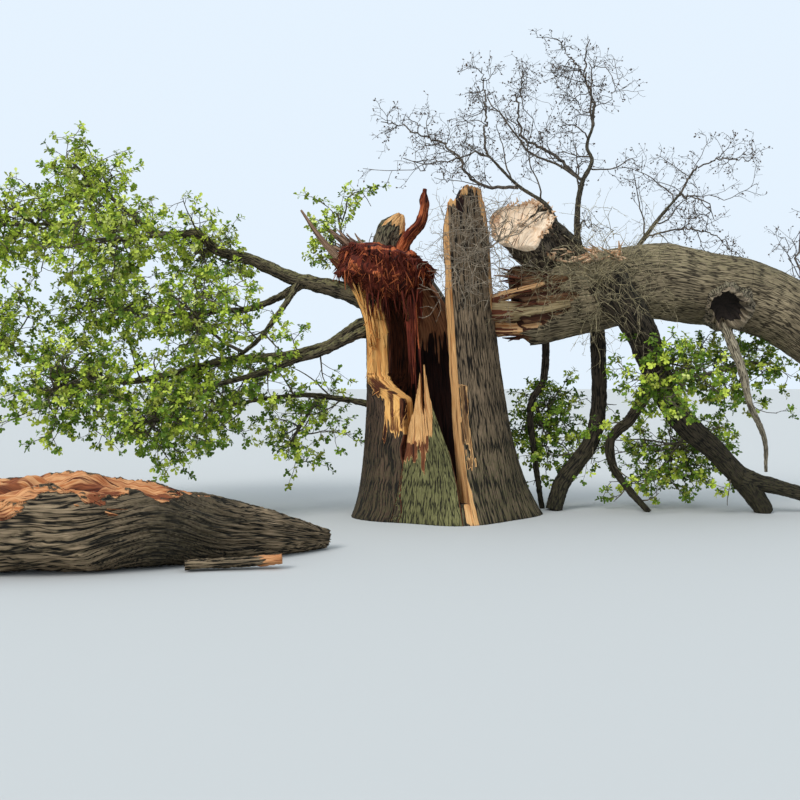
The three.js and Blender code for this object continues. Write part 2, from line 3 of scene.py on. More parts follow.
import bmesh
import bpy
import numpy as np
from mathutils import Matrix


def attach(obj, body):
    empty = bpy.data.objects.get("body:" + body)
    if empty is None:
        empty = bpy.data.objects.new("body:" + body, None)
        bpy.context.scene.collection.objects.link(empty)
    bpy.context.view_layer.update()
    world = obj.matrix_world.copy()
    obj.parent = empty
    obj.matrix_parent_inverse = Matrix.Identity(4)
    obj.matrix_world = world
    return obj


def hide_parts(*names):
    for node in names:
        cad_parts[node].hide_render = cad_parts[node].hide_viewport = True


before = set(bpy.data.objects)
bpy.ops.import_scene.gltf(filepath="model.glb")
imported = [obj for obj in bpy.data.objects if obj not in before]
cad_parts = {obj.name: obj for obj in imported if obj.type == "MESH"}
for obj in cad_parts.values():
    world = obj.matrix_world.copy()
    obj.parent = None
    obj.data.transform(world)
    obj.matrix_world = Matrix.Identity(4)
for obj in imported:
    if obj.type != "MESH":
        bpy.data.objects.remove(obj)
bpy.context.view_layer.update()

# View: a standing person's eye, 13 m in front of the trunk, looking a little to its left and very slightly
# down.
EYE = (-0.57, -13.3, 1.70)
CAMERA_TILT = math.radians(89.14)  # 90 degrees would be level
camera = bpy.data.objects.new("camera", bpy.data.cameras.new("camera"))
camera.location = EYE
camera.rotation_euler = (CAMERA_TILT, 0, 0)
camera.data.lens = 45
camera.data.sensor_width = 36
bpy.context.scene.collection.objects.link(camera)
bpy.context.scene.camera = camera

# Root collar: the flared foot of the trunk, cut flat at ground level. Oak bark covers it, in long plates
# between deep fissures, and its top is the rotten floor of the hollow, on which the split stems stand.

FULL_TURN = 2 * math.pi
HASH_PRIMES = (73856093, 19349663, 83492791)
HASH_START = 7919
HASH_FACTOR = 1540483477
HASH_TOP = 0xFFFFFFFF


def hashed(cells, seed):
    """A number from 0 to 1 for each whole-number cell."""
    key = np.full(cells.shape[:-1], HASH_START * (seed + 1), dtype=np.int64)
    for axis, prime in enumerate(HASH_PRIMES):
        key = ((key ^ (cells[..., axis] * prime)) * HASH_FACTOR) & HASH_TOP
        key ^= key >> 15
    return key / HASH_TOP


def noise(points, seed=0):
    """Smooth noise from -1 to 1 at points of three numbers each."""
    low = np.floor(points)
    share = points - low
    share = share * share * (3 - 2 * share)
    cells = low.astype(np.int64)
    total = np.zeros(points.shape[:-1])
    for corner in np.ndindex(2, 2, 2):
        weight = np.prod(np.where(corner, share, 1 - share), axis=-1)
        total += weight * hashed(cells + np.array(corner), seed)
    return total * 2 - 1


def rough(a, b, c, seed=0, layers=3):
    """Noise with finer layers on it."""
    points = np.stack(np.broadcast_arrays(a, b, c), axis=-1).astype(float)
    return sum(noise(points * 2**layer, seed + layer) / 2**layer for layer in range(layers))


def rise(value, width=1.0):
    """0 below nought, 1 above the width, and straight between."""
    return np.clip(value / width, 0, 1)


def round_rough(angle, size, along, seed):
    """Noise on a round piece, which meets itself after a turn. A larger size makes finer noise."""
    return rough(np.cos(angle) * size, np.sin(angle) * size, along, seed)


def bark(turn, along, plates, length, seed=0):
    """How far the bark stands out, 1 on a plate and 0 in a fissure. turn is the share of the way round."""
    wave_x, wave_y = np.cos(FULL_TURN * turn) * 2, np.sin(FULL_TURN * turn) * 2
    gone = along / length
    sway = rough(wave_x * 2 + gone * 0.7, wave_y * 2 - gone * 0.5, gone * 1.1 + wave_x, seed)
    a = turn * plates + sway * 0.7
    b = gone + rough(wave_x * 3 + gone, wave_y * 3 - gone, gone * 1.4 + wave_x, seed + 5) * 0.3
    near = np.full(turn.shape, 9.0)
    second = near.copy()
    for step_a in (-1, 0, 1):
        cell_a = np.floor(a) + step_a
        column = np.stack([cell_a % plates, cell_a * 0, cell_a * 0], axis=-1).astype(np.int64)
        staggered = b + 7 * hashed(column, seed + 2)
        for step_b in (-1, 0, 1):
            cell_b = np.floor(staggered) + step_b
            cell = np.stack([cell_a % plates, cell_b, cell_a * 0], axis=-1).astype(np.int64)
            off_a = a - cell_a - 0.15 - 0.7 * hashed(cell, seed)
            off_b = staggered - cell_b - 0.1 - 0.8 * hashed(cell, seed + 1)
            away = np.hypot(off_a, off_b * 0.45)
            second = np.minimum(second, np.maximum(away, near))
            near = np.minimum(near, away)
    plate = rise(second - near, 0.3)
    return plate**0.7 * (0.82 + 0.18 * rough(wave_x * 9 + gone * 3, wave_y * 9, gone * 8, seed + 9))


def set_marks(mesh, marks):
    """Gives each point of the mesh its marks, which its finish reads."""
    for label, value in marks.items():
        values = np.broadcast_to(value, len(mesh.vertices)).astype(np.float32)
        mesh.attributes.new(label, "FLOAT", "POINT").data.foreach_set("value", values)


def placed(name, mesh):
    """A piece of this mesh, in the scene."""
    piece = bpy.data.objects.new(name, mesh)
    bpy.context.scene.collection.objects.link(piece)
    return piece


def skin(name, around, along, place):
    """A closed skin: a grid rolled round the piece, its seam welded and its ends drawn together. place gives
    the points and their marks from the shares round and along. Its grain is in metres across and along the
    wood."""
    shape = bmesh.new()
    shape.loops.layers.uv.new("grain")
    bmesh.ops.create_grid(shape, x_segments=around, y_segments=along, size=0.5, calc_uvs=True)
    mesh = bpy.data.meshes.new(name)
    shape.to_mesh(mesh)
    shape.free()
    flat = np.empty(len(mesh.vertices) * 3)
    mesh.vertices.foreach_get("co", flat)
    flat = np.round(flat.reshape(-1, 3) + 0.5, 6)
    points, marks = place(flat[:, 0], flat[:, 1])
    mesh.vertices.foreach_set("co", points.ravel())
    set_marks(mesh, {label: marks.get(label, 0.0) for label in ("relief", "torn", "rot", "dark")})
    corners = np.empty(len(mesh.loops), np.int32)
    mesh.loops.foreach_get("vertex_index", corners)
    mesh.uv_layers["grain"].data.foreach_set("uv", np.stack(marks["grain"], axis=-1)[corners].ravel())
    shape = bmesh.new()
    shape.from_mesh(mesh)
    bmesh.ops.remove_doubles(shape, verts=shape.verts, dist=1e-4)
    bmesh.ops.dissolve_degenerate(shape, dist=1e-5, edges=shape.edges)
    bmesh.ops.recalc_face_normals(shape, faces=shape.faces)
    for face in shape.faces:
        face.smooth = True
    shape.to_mesh(mesh)
    shape.free()
    return placed(name, mesh)


def node(tree, kind, inputs=None, **settings):
    """A shader node with its settings and its sockets' values or links."""
    made = tree.nodes.new(kind)
    for label, value in settings.items():
        setattr(made, label, value)
    for socket, value in (inputs or {}).items():
        if isinstance(value, bpy.types.NodeSocket):
            tree.links.new(value, made.inputs[socket])
        else:
            made.inputs[socket].default_value = value
    return made


def blend(tree, share, first, second, kind="MIX"):
    """The colour between two colours."""
    return node(
        tree, "ShaderNodeMix", {0: share, 6: first, 7: second}, data_type="RGBA", blend_type=kind).outputs[2]


def math_node(tree, operation, *values, clamp=False):
    """One sum, product or the like."""
    made = node(tree, "ShaderNodeMath", dict(enumerate(values)), operation=operation)
    made.use_clamp = clamp
    return made.outputs[0]


def ranged(tree, value, low, high):
    """0 below low, 1 above high, and smooth between."""
    sockets = {"Value": value, "From Min": low, "From Max": high}
    return node(tree, "ShaderNodeMapRange", sockets, interpolation_type="SMOOTHSTEP").outputs[0]


def spots(tree, place, scale, detail):
    """Noise in even spots."""
    return node(tree, "ShaderNodeTexNoise", {"Vector": place, "Scale": scale, "Detail": detail}).outputs[0]


def mark(tree, name):
    """A mark that the mesh carries."""
    return node(tree, "ShaderNodeAttribute", attribute_name=name).outputs["Fac"]


def streaks(tree, across, along, detail):
    """Noise drawn out along the grain."""
    grain = node(tree, "ShaderNodeUVMap", uv_map="grain").outputs[0]
    drawn = node(tree, "ShaderNodeMapping", {"Vector": grain, "Scale": (across, along, 1)}).outputs[0]
    return spots(tree, drawn, 1.0, detail)


def effect(name, inputs):
    """An empty node group with named inputs that puts out a colour and a height."""
    made = bpy.data.node_groups.new(name, "ShaderNodeTree")
    for label, socket in inputs:
        made.interface.new_socket(label, in_out="INPUT", socket_type=socket)
    made.interface.new_socket("Color", in_out="OUTPUT", socket_type="NodeSocketColor")
    made.interface.new_socket("Height", in_out="OUTPUT", socket_type="NodeSocketFloat")
    return made, made.nodes.new("NodeGroupInput").outputs, made.nodes.new("NodeGroupOutput")


def cracks(tree, scale, size, width):
    """0 in the cracks between long ridges and 1 on the ridges. They run where a noise drawn out along the
    grain is near its middle value, so that they join and part."""
    grain = node(tree, "ShaderNodeUVMap", uv_map="grain").outputs[0]
    drawn = node(tree, "ShaderNodeVectorMath", {0: grain, 1: scale}, operation="MULTIPLY").outputs[0]
    away = math_node(tree, "ABSOLUTE", math_node(tree, "SUBTRACT", spots(tree, drawn, size, 1.0), 0.5))
    return ranged(tree, away, 0.0, width)


def oak_bark_effect():
    """Bark that is dark in its fissures, patchy, mossy low down and on top, and darkened towards near black
    by painted shade low down and where its dark mark says so."""
    colour = "NodeSocketColor"
    sockets = [("Fissure", colour), ("Ridge", colour), ("Moss", colour)]
    sockets += [("Mossy", "NodeSocketFloat"), ("Plates", "NodeSocketVector")]
    tree, given, result = effect("oak_bark", sockets)
    relief = mark(tree, "relief")
    place = node(tree, "ShaderNodeTexCoord").outputs["Object"]
    patch = spots(tree, place, 2.6, 4.0)
    speck = spots(tree, place, 34.0, 3.0)
    plates = cracks(tree, given["Plates"], 1.0, 0.09)
    scales = cracks(tree, given["Plates"], 1.9, 0.11)
    fibre = streaks(tree, 80, 7, 3.0)
    ridges = math_node(tree, "MULTIPLY_ADD", scales, 0.34, math_node(tree, "MULTIPLY", plates, 0.66))
    shade = math_node(tree, "MULTIPLY_ADD", relief, 0.12, math_node(tree, "MULTIPLY", ridges, 0.88))
    shade = math_node(tree, "MULTIPLY_ADD", fibre, 0.42, math_node(tree, "SUBTRACT", shade, 0.21))
    tone = blend(tree, ranged(tree, shade, 0.26, 0.98), given["Fissure"], given["Ridge"])
    light = ranged(tree, patch, 0.3, 0.72)
    patchy = blend(tree, light, (0.74, 0.72, 0.70, 1), (1.20, 1.17, 1.13, 1))
    toned = blend(tree, 1.0, tone, patchy, "MULTIPLY")
    normal = node(tree, "ShaderNodeNewGeometry").outputs["Normal"]
    up = ranged(tree, node(tree, "ShaderNodeSeparateXYZ", {0: normal}).outputs[2], -0.15, 0.75)
    low = ranged(tree, node(tree, "ShaderNodeSeparateXYZ", {0: place}).outputs[2], 1.9, 0.1)
    # painted shade: the bark darkens towards near black near the ground, and as far as the dark mark asks
    shadow = math_node(tree, "MAXIMUM", mark(tree, "dark"), math_node(tree, "MULTIPLY", low, 0.36))
    toned = blend(tree, shadow, toned, (0.018, 0.015, 0.010, 1))
    damp = math_node(tree, "MAXIMUM", up, low)
    grown = math_node(tree, "MULTIPLY", damp, ranged(tree, speck, 0.32, 0.66))
    grown = math_node(tree, "MULTIPLY", grown, ranged(tree, shade, 0.2, 0.6))
    moss = math_node(tree, "MULTIPLY", grown, given["Mossy"], clamp=True)
    tree.links.new(blend(tree, moss, toned, given["Moss"]), result.inputs["Color"])
    tree.links.new(math_node(tree, "MULTIPLY_ADD", fibre, 0.5, ridges), result.inputs["Height"])
    return tree


def torn_wood_effect():
    """Wood torn along its grain: fine streaks from pale to deep, dark splits, and broad stains."""
    colour = "NodeSocketColor"
    tree, given, result = effect("torn_wood", [("Pale", colour), ("Deep", colour), ("Stain", colour)])
    fine = streaks(tree, 120, 5, 4.0)
    split = streaks(tree, 46, 1.3, 2.0)
    broad = streaks(tree, 14, 1.6, 3.0)
    wood = blend(tree, ranged(tree, fine, 0.36, 0.68), given["Pale"], given["Deep"])
    wood = blend(tree, ranged(tree, broad, 0.5, 0.72), wood, given["Stain"])
    dark = ranged(tree, split, 0.40, 0.33)
    wood = blend(tree, dark, wood, blend(tree, 1.0, given["Stain"], (0.35, 0.3, 0.3, 1), "MULTIPLY"))
    tree.links.new(wood, result.inputs["Color"])
    height = math_node(tree, "SUBTRACT", math_node(tree, "MULTIPLY_ADD", fine, 0.6, broad), dark)
    tree.links.new(height, result.inputs["Height"])
    return tree


BARK_EFFECT = oak_bark_effect()
TORN_EFFECT = torn_wood_effect()


def tones(pale, deep, stain):
    """The colours of torn wood: its streaks, the deeper ones between, and its stains."""
    return {"Pale": (*pale, 1), "Deep": (*deep, 1), "Stain": (*stain, 1)}


OLD_MOSS = (0.100, 0.105, 0.036)
TORN_TAN = tones((0.78, 0.46, 0.195), (0.54, 0.25, 0.078), (0.38, 0.135, 0.040))
ROTTEN_DARK = tones((0.034, 0.010, 0.006), (0.009, 0.003, 0.002), (0.004, 0.002, 0.002))


BARK_ROUGHNESS = 0.88
BARK_GLOSS = 0.25
BUMP_STRENGTH = 0.7
BUMP_DEPTH = 0.014
TORN_EDGE = 0.3  # how much the torn wood's own relief frays the edge between it and the bark


def new_finish(name, roughness):
    """A new material with its node tree and its shader."""
    material = bpy.data.materials.new(name)
    material.use_nodes = True
    shader = material.node_tree.nodes["Principled BSDF"]
    shader.inputs["Roughness"].default_value = roughness
    return material, material.node_tree, shader


def oak(name, fissure, ridge, moss, mossy, torn=TORN_TAN, rot=ROTTEN_DARK, plate=(0.045, 0.24)):
    """Oak with bark, torn where its torn mark says so, and rotten where its rot mark says so. plate is the
    width and the length of the plates of its bark."""
    material, tree, shader = new_finish(name, BARK_ROUGHNESS)
    shader.inputs["Specular IOR Level"].default_value = BARK_GLOSS
    scale = (1 / plate[0], 1 / plate[1], 1)
    bark_values = {
        "Fissure": (*fissure, 1), "Ridge": (*ridge, 1), "Moss": (*moss, 1), "Mossy": mossy, "Plates": scale}
    layers = ((BARK_EFFECT, bark_values, None), (TORN_EFFECT, torn, "torn"), (TORN_EFFECT, rot, "rot"))
    colour, height = None, None
    for effect_tree, values, label in layers:
        layer = node(tree, "ShaderNodeGroup", node_tree=effect_tree)
        for socket, value in values.items():
            layer.inputs[socket].default_value = value
        if label is None:
            colour, height = layer.outputs
            continue
        share = mark(tree, label)
        lowered = math_node(tree, "SUBTRACT", share, TORN_EDGE)
        ragged = math_node(tree, "MULTIPLY_ADD", layer.outputs["Height"], TORN_EDGE, lowered)
        share = ranged(tree, ragged, 0.38, 0.55)
        colour = blend(tree, share, colour, layer.outputs["Color"])
        height = node(tree, "ShaderNodeMix", {0: share, 2: height, 3: layer.outputs["Height"]}).outputs[0]
    bump = node(
        tree, "ShaderNodeBump", {"Height": height, "Strength": BUMP_STRENGTH, "Distance": BUMP_DEPTH})
    tree.links.new(colour, shader.inputs["Base Color"])
    tree.links.new(bump.outputs[0], shader.inputs["Normal"])
    return material


def dress(piece, material, slot_name, *nodes):
    """The piece gets its finish and stands for its solids."""
    piece.data.materials.append(material)
    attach(piece, "root")
    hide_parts(*nodes)
    return piece


TRUNK_LEAN = -0.065  # metres along X for each metre of height
COLLAR_TOP = 0.25
COLLAR_WALL, COLLAR_FLOOR = 0.55, 0.45  # the shares of the collar's skin that are its side and its top
COLLAR_INSET = 0.012  # the collar stays this far inside the stems that stand on it


TRUNK_RADIUS = 0.84
FLARE_OUT, FLARE_HEIGHT = 0.40, 0.95
BUTTRESSES, BUTTRESS_OUT, BUTTRESS_HEIGHT = 5, 0.06, 0.45


def trunk_radius(angle, z):
    """The trunk's girth with its root flare, its buttresses and an uneven growth."""
    flare = TRUNK_RADIUS + FLARE_OUT * np.exp(-z / FLARE_HEIGHT)
    buttress = 1 + BUTTRESS_OUT * np.exp(-z / BUTTRESS_HEIGHT) * np.cos(BUTTRESSES * angle + 0.6)
    uneven = 1 + 0.012 * round_rough(angle, 2, z * 0.7, 40)
    return flare * buttress * uneven


def trunk_bark(angle, z):
    """The bark's relief on the trunk, the same on all its pieces, so that the fissures run on across
    them."""
    return bark((angle / FULL_TURN) % 1.0, z, 120, 0.22, 1)


BARK_DEPTH = 0.012
trunk_oak = oak(
    "trunk_bark", (0.007, 0.005, 0.003), (0.248, 0.174, 0.110), OLD_MOSS, 0.5, plate=(0.040, 0.46))


def collar_place(turn, along):
    # the side wall, then the floor of the hollow, drawn together at its middle
    floor = rise(along - COLLAR_WALL, COLLAR_FLOOR)
    wall = rise(along, COLLAR_WALL)
    under = np.interp(along, [0, 0.06], [0, 1])
    angle = turn * FULL_TURN
    height = COLLAR_TOP * rise(along - 0.06, 0.49)
    relief = trunk_bark(angle, height)
    radius = trunk_radius(angle, height) - COLLAR_INSET + BARK_DEPTH * (relief - 1) * (floor == 0)
    radius = radius * under * (1 - floor)
    crumb = rough(radius * np.cos(angle) * 7, radius * np.sin(angle) * 7, 0, 3)
    z = height - floor * (COLLAR_INSET + 0.02 * (1 + crumb) * np.minimum(1, (1 - floor) * 8))
    points = np.stack([TRUNK_LEAN * height + radius * np.cos(angle), radius * np.sin(angle), z], axis=-1)
    degrees = np.degrees(angle) - 360
    strip = np.clip(2.2 - np.abs(degrees + 77.2) + 1.0 * rough(height * 14, 0.0, 0.0, 6), 0, 1)
    marks = {"relief": relief * (wall < 1), "torn": strip, "rot": (floor > 0).astype(float)}
    marks["grain"] = (angle * 0.95, height + floor)
    return points, marks


collar = skin("root_collar", 220, 50, collar_place)
dress(collar, trunk_oak, "bark", "trunk_foot")

# Right stem: the tallest slab of the shell. Barked outside, it shows a long tan face in front, where it
# split from the rest, a dark hollow side, and a red scar on its right, from which the fallen stem tore away.


def torn_top(across, line, jag, grain, seed):
    """Heights of a torn edge: a line of named heights with long splinters on it."""
    splinter = np.abs(rough(across * grain, 0.5, 0.5, seed, 2))
    chip = rough(across * grain * 3, 1.5, 0.5, seed + 3, 2)
    return line + jag * (0.8 - 2.2 * splinter + 0.35 * chip)


def stem_wall(name, outer, edge, rows, width, edges, rim, thick, lean, marks, depth=BARK_DEPTH):
    """A standing slab of the hollow trunk: outer columns on its bark side, which is width wide, half as many
    on its hollow side and edge columns on each torn side. edges gives its two sides in degrees at a height,
    with out at 1 on the bark side and 0 on the hollow side."""
    inner = outer // 2
    corners = np.cumsum([0, outer, edge, inner, edge])
    lengths = np.cumsum([0, width, thick, width * 0.7, thick])

    def place(turn, run):
        column = np.rint(turn * corners[-1])
        across = np.interp(column, corners, [0, 1, 1, 0, 0])
        out = np.interp(column, corners, [1, 1, 0, 0, 1])
        row = np.rint(run * rows)
        is_end = (row == 0) | (row == rows)
        across = np.where(is_end, np.rint(across * inner) / inner, across)
        close = np.interp(row, [0, 1, 2, rows - 3, rows - 1, rows], [0, 0.8, 1, 1, 0.75, 0])
        share = np.clip((row - 2) / (rows - 4), 0, 1)
        thin = 1 - 0.55 * rise(share - 0.9, 0.1) ** 2
        out = 0.5 + (out - 0.5) * close
        top = rim(across)
        z = top * share
        start, stop = edges(z, out)
        degrees = start + (stop - start) * across
        angle = np.radians(degrees)
        is_bark = ((column <= outer) & ~is_end).astype(float)
        relief = trunk_bark(angle, z)
        fluted = rough(degrees * 0.35, 3.0, z * 0.9, 12) + 0.5 * rough(degrees * 1.3, 5.0, z * 2.2, 16)
        radius = trunk_radius(angle, z) - thick * (1 - out) * thin
        radius = radius + is_bark * depth * (relief - 1) + (1 - out) * 0.035 * fluted
        is_side = (across == 0) | (across == 1)
        fibres = 0.012 * rough(out * 7, z * 0.4, across * 2, 31)
        fibres = fibres + 0.007 * rough(out * 30, z * 1.4, across * 2, 35)
        angle = angle + fibres * np.sign(across - 0.5) * is_side
        torn, rot = marks(degrees, z, across, out, top - z)
        x = TRUNK_LEAN * z + lean(z) + radius * np.cos(angle)
        points = np.stack([x, radius * np.sin(angle), z], axis=-1)
        grain = (np.interp(column, corners, lengths), z)
        return points, {"relief": relief * is_bark, "torn": torn, "rot": rot, "grain": grain}

    return skin(name, int(corners[-1]), rows, place)


SHELL_THICKNESS = 0.29
WALL_START, WALL_STOP = 62.0, 118.0  # degrees round the trunk between which the back wall stands


def upright(z):
    """No lean at any height."""
    return 0 * z


def right_edges(z, out):
    """The right stem's sides. The torn one draws back with the height, and more so on the hollow side."""
    high = z / 4.3
    inner = -80 + 16 * high
    return inner + (-75.5 + 5.5 * high - inner) * out, np.full(z.shape, WALL_START)


def right_rim(across):
    """The right stem's top: a peak near its torn side, and lower shoulders."""
    peak = 4.19 - 4.6 * np.maximum(0, np.abs(across - 0.22) - 0.1)
    line = np.maximum(peak, np.where(across < 0.1, 3.98, 3.2))
    return torn_top(across, line, 0.07, 26, 60)


def right_marks(degrees, z, across, out, below_top):
    """Where the right stem is torn: its split face and that face's margin, its scar, its tip and a red
    patch."""
    ragged = rough(degrees * 0.3, z * 1.4, 0.0, 50)
    split_face = (across == 0) * (out > 0.02)
    scar = rise(degrees + 25 + 7 * ragged, 3) * rise(48 - degrees, 6)
    scar = scar * rise(z - 2.5 - 0.25 * ragged, 0.2)
    margin = rise(-73.0 - degrees + 1.6 * ragged, 1.0) * (out > 0.9) * (z < 2.6)
    drop = 0.10 + 0.3 * rise(across - 0.26, 0.05) * (across < 0.4)
    tip = rise(drop - below_top + 0.07 * ragged, 0.04)
    # a painted hole: a near-black spot of rotten-wood colour on the bark, where no hole is cut; its darkness
    # is painted shade of the hole
    hole = np.hypot((degrees + 58) / 4.5, (z - 3.98) / 0.13) < 1
    hollow = rise(0.5 - out, 0.2)
    flecks = rough(degrees * 0.45, z * 3.5, 0.0, 52)
    patch = rise(-69.0 - degrees + 5 * flecks, 1.5) * (z > 0.6 + 0.1 * flecks) * (z < 1.7) * (flecks > -0.2)
    patch = patch * (out > 0.9)
    torn = np.maximum.reduce([split_face * 1.0, scar, margin, tip, patch])
    red_patch = 0.57 * patch * (1 - margin)
    rot = np.maximum.reduce(
        [hollow * (1 - split_face), 0.5 * scar * (ragged > 0.1), hole * (out > 0.9), red_patch])
    return torn, rot


right_stem = stem_wall(
    "right_stem", 140, 14, 220, 2.1, right_edges, right_rim, SHELL_THICKNESS, upright, right_marks)
dress(right_stem, trunk_oak, "bark", "trunk_right_stem")

# Back wall: what is left of the shell behind the hollow, lower than the stems. Its inner side, which shows
# through the split, is red-brown and torn at the top and almost black lower down.


LEAN_FROM = 2.3  # the height above which the left stem and the wall behind it lean out
LEAN_OUT = -0.35  # how far they lean at the top


def left_lean(z):
    """How far the left stem leans at a height."""
    return np.where(z > LEAN_FROM, LEAN_OUT * ((z - LEAN_FROM) / 0.93) ** 2, 0)


def back_edges(z, out):
    return np.full(z.shape, 62.03), np.full(z.shape, WALL_STOP)


def back_rim(across):
    return torn_top(across, 3.47 - 0.19 * across, 0.09, 22, 64)


def back_marks(degrees, z, across, out, below_top):
    """The back wall is torn inside and at its top, and rotten lower down."""
    ragged = rough(degrees * 0.4, z * 1.7, 0.0, 55)
    tip = rise(0.25 - below_top + 0.12 * ragged, 0.08)
    hollow = rise(0.6 - out, 0.2)
    return np.maximum(tip, hollow), hollow * rise(2.4 - z + 0.35 * ragged, 0.3)


back_oak = oak(
    "back_wall_wood", (0.012, 0.008, 0.005), (0.235, 0.19, 0.145), OLD_MOSS, 0.5,
    tones((0.60, 0.255, 0.110), (0.24, 0.075, 0.030), (0.075, 0.018, 0.009)),
)
back_wall = stem_wall("back_wall", 60, 8, 150, 0.95, back_edges, back_rim, 0.24, left_lean, back_marks)
dress(back_wall, back_oak, "rotten_wood", "trunk_back_wall")

# Left stem: the lower half of the split trunk, leaning out at its top. Its front edge is a broad tan face
# along the split. Low down the bark reaches round to the front, where a brown flap of it is torn loose.


def left_front(z):
    """Where the left stem's front edge stands, in degrees: further to the front low down."""
    share = rise(z - 1.48, 0.4)
    return 241 - 50 * share * share * (3 - 2 * share)


def left_edges(z, out):
    ragged = 1.5 * rough(z * 6, 0.0, 0.0, 71) * rise(1.6 - z, 0.3)
    return np.full(z.shape, 118.03), left_front(z) + ragged * out


def left_rim(across):
    return torn_top(across, 3.23 + 0.06 * across, 0.09, 24, 66)


def left_marks(degrees, z, across, out, below_top):
    """Where the left stem is torn: its split face, the loose flap, a strip along the edge and its tip."""
    ragged = rough(degrees * 0.25, z * 2.0, 0.0, 57)
    split_face = (across == 1) * rise(z - 1.0 + 0.1 * ragged, 0.06)
    flap = rise(degrees - left_front(z) + 17 + 8 * ragged, 3)
    flap = flap * rise(z - 1.06 + 0.14 * ragged, 0.08) * rise(1.95 - z + 0.1 * ragged, 0.1)
    strip = rise(degrees - left_front(z) + 2.5 + 2 * ragged, 1.5) * (z > 1.9)
    tip = rise(0.2 - below_top + 0.1 * ragged, 0.08)
    hollow = rise(0.5 - out, 0.2) * (across < 1)
    torn = np.maximum.reduce([split_face, flap * (out > 0.5), strip * (out > 0.5), tip])
    brown = 0.16 + 0.42 * np.clip(np.hypot((degrees - 224) / 15, (z - 1.46) / 0.36), 0, 1) + 0.3 * ragged
    red = rise(z - 2.80 + 0.25 * ragged, 0.25) * 0.62
    dark_edge = (across == 1) * (1 - split_face)
    rot = np.maximum.reduce([hollow, dark_edge, brown * flap * (out > 0.5), red * (out > 0.02)])
    return torn, rot


left_oak = oak(
    "left_stem_bark", (0.006, 0.004, 0.003), (0.118, 0.070, 0.046), OLD_MOSS, 0.3,
    tones((0.90, 0.51, 0.170), (0.76, 0.36, 0.095), (0.58, 0.215, 0.052)),
    tones((0.150, 0.042, 0.016), (0.036, 0.010, 0.005), (0.006, 0.003, 0.002)),
    (0.038, 0.44),
)
left_stem = stem_wall(
    "left_stem", 130, 18, 180, 2.0, left_edges, left_rim, SHELL_THICKNESS, left_lean, left_marks)
dress(left_stem, left_oak, "bark", "trunk_left_stem")

# Front wedge: a thin plate of grey-green barked wood that stayed on the collar when the rest tore up from
# it. It ends in two tan spikes, stained red-brown where they meet the bark.


def wedge_edges(z, out):
    left = -125.6 + 19 * np.clip(z / 1.95, 0, 1)
    right = np.interp(z, [0, 0.5, 0.85, 1.2, 1.55, 1.95], [-82, -82.3, -84.5, -89, -94, -96])
    return left, right - 2 * (1 - out)


def wedge_rim(across):
    line = np.interp(across, np.linspace(0, 1, 9), [1.15, 1.4, 1.62, 1.86, 1.30, 1.52, 1.95, 1.50, 0.85])
    return torn_top(across, line, 0.05, 22, 68)


def wedge_marks(degrees, z, across, out, below_top):
    """The wedge is torn on its edges and spikes, with a stain below them."""
    ragged = rough(degrees * 0.5, z * 2.5, 0.0, 58)
    boundary = np.interp(across, [0, 0.5, 0.68, 0.80, 0.90, 1], [1.0, 0.92, 1.05, 1.30, 1.52, 1.6])
    boundary = boundary + 0.09 * ragged
    tip = rise(z - boundary, 0.05)
    stain = rise(z - boundary + 0.24 + 0.22 * ragged, 0.05) * rise(0.42 + 0.25 * ragged - across, 0.1)
    edge = (across == 0) | (across == 1)
    hollow = rise(0.5 - out, 0.2) * (z < 1.3)
    dark_edge = edge * (z < 0.85 + 0.1 * ragged)
    torn = np.maximum.reduce([tip, edge * 1.0, stain])
    return torn, np.maximum.reduce([hollow, 0.8 * stain * (1 - tip), dark_edge])


wedge_oak = oak(
    "wedge_bark", (0.020, 0.019, 0.008), (0.272, 0.255, 0.106), (0.160, 0.162, 0.052), 0.4, TORN_TAN,
    tones((0.20, 0.068, 0.026), (0.085, 0.022, 0.009), (0.014, 0.005, 0.003)),
    (0.034, 0.24),
)
wedge = stem_wall(
    "front_wedge", 70, 8, 150, 0.78, wedge_edges, wedge_rim, 0.15, upright, wedge_marks, depth=0.013)
dress(wedge, wedge_oak, "bark", "trunk_front_wedge")

# Rotten heart: the decayed core that closes the hollow's top, dark red and torn to shreds, with a dark strip
# of it hanging into the split. Thin shreds stand out all over it.


def joined(name, points, faces, marks=None, grain=None):
    """One mesh of many small things, from arrays of points and of faces."""
    mesh = bpy.data.meshes.new(name)
    mesh.vertices.add(len(points))
    mesh.vertices.foreach_set("co", np.asarray(points, np.float32).ravel())
    corners = np.concatenate([part.ravel() for part in faces]).astype(np.int32)
    sizes = np.concatenate([np.full(len(part), part.shape[1]) for part in faces])
    mesh.loops.add(len(corners))
    mesh.loops.foreach_set("vertex_index", corners)
    mesh.polygons.add(len(sizes))
    mesh.polygons.foreach_set("loop_start", (np.cumsum(sizes) - sizes).astype(np.int32))
    mesh.update(calc_edges=True)
    set_marks(mesh, marks or {})
    if grain is not None:
        mesh.uv_layers.new(name="grain").data.foreach_set("uv", grain[corners].astype(np.float32).ravel())
    return placed(name, mesh)


def unit(vectors):
    """The same ways, each one long."""
    return vectors / np.maximum(np.linalg.norm(vectors, axis=-1, keepdims=True), 1e-9)


SKEW_WAY = np.array([0.37, 0.61, 0.70])  # along no limb, so that it gives each a way square to it


def square_to(ahead):
    """Two ways square to each way ahead and to each other."""
    across = unit(np.cross(ahead, SKEW_WAY))
    return across, np.cross(ahead, across)


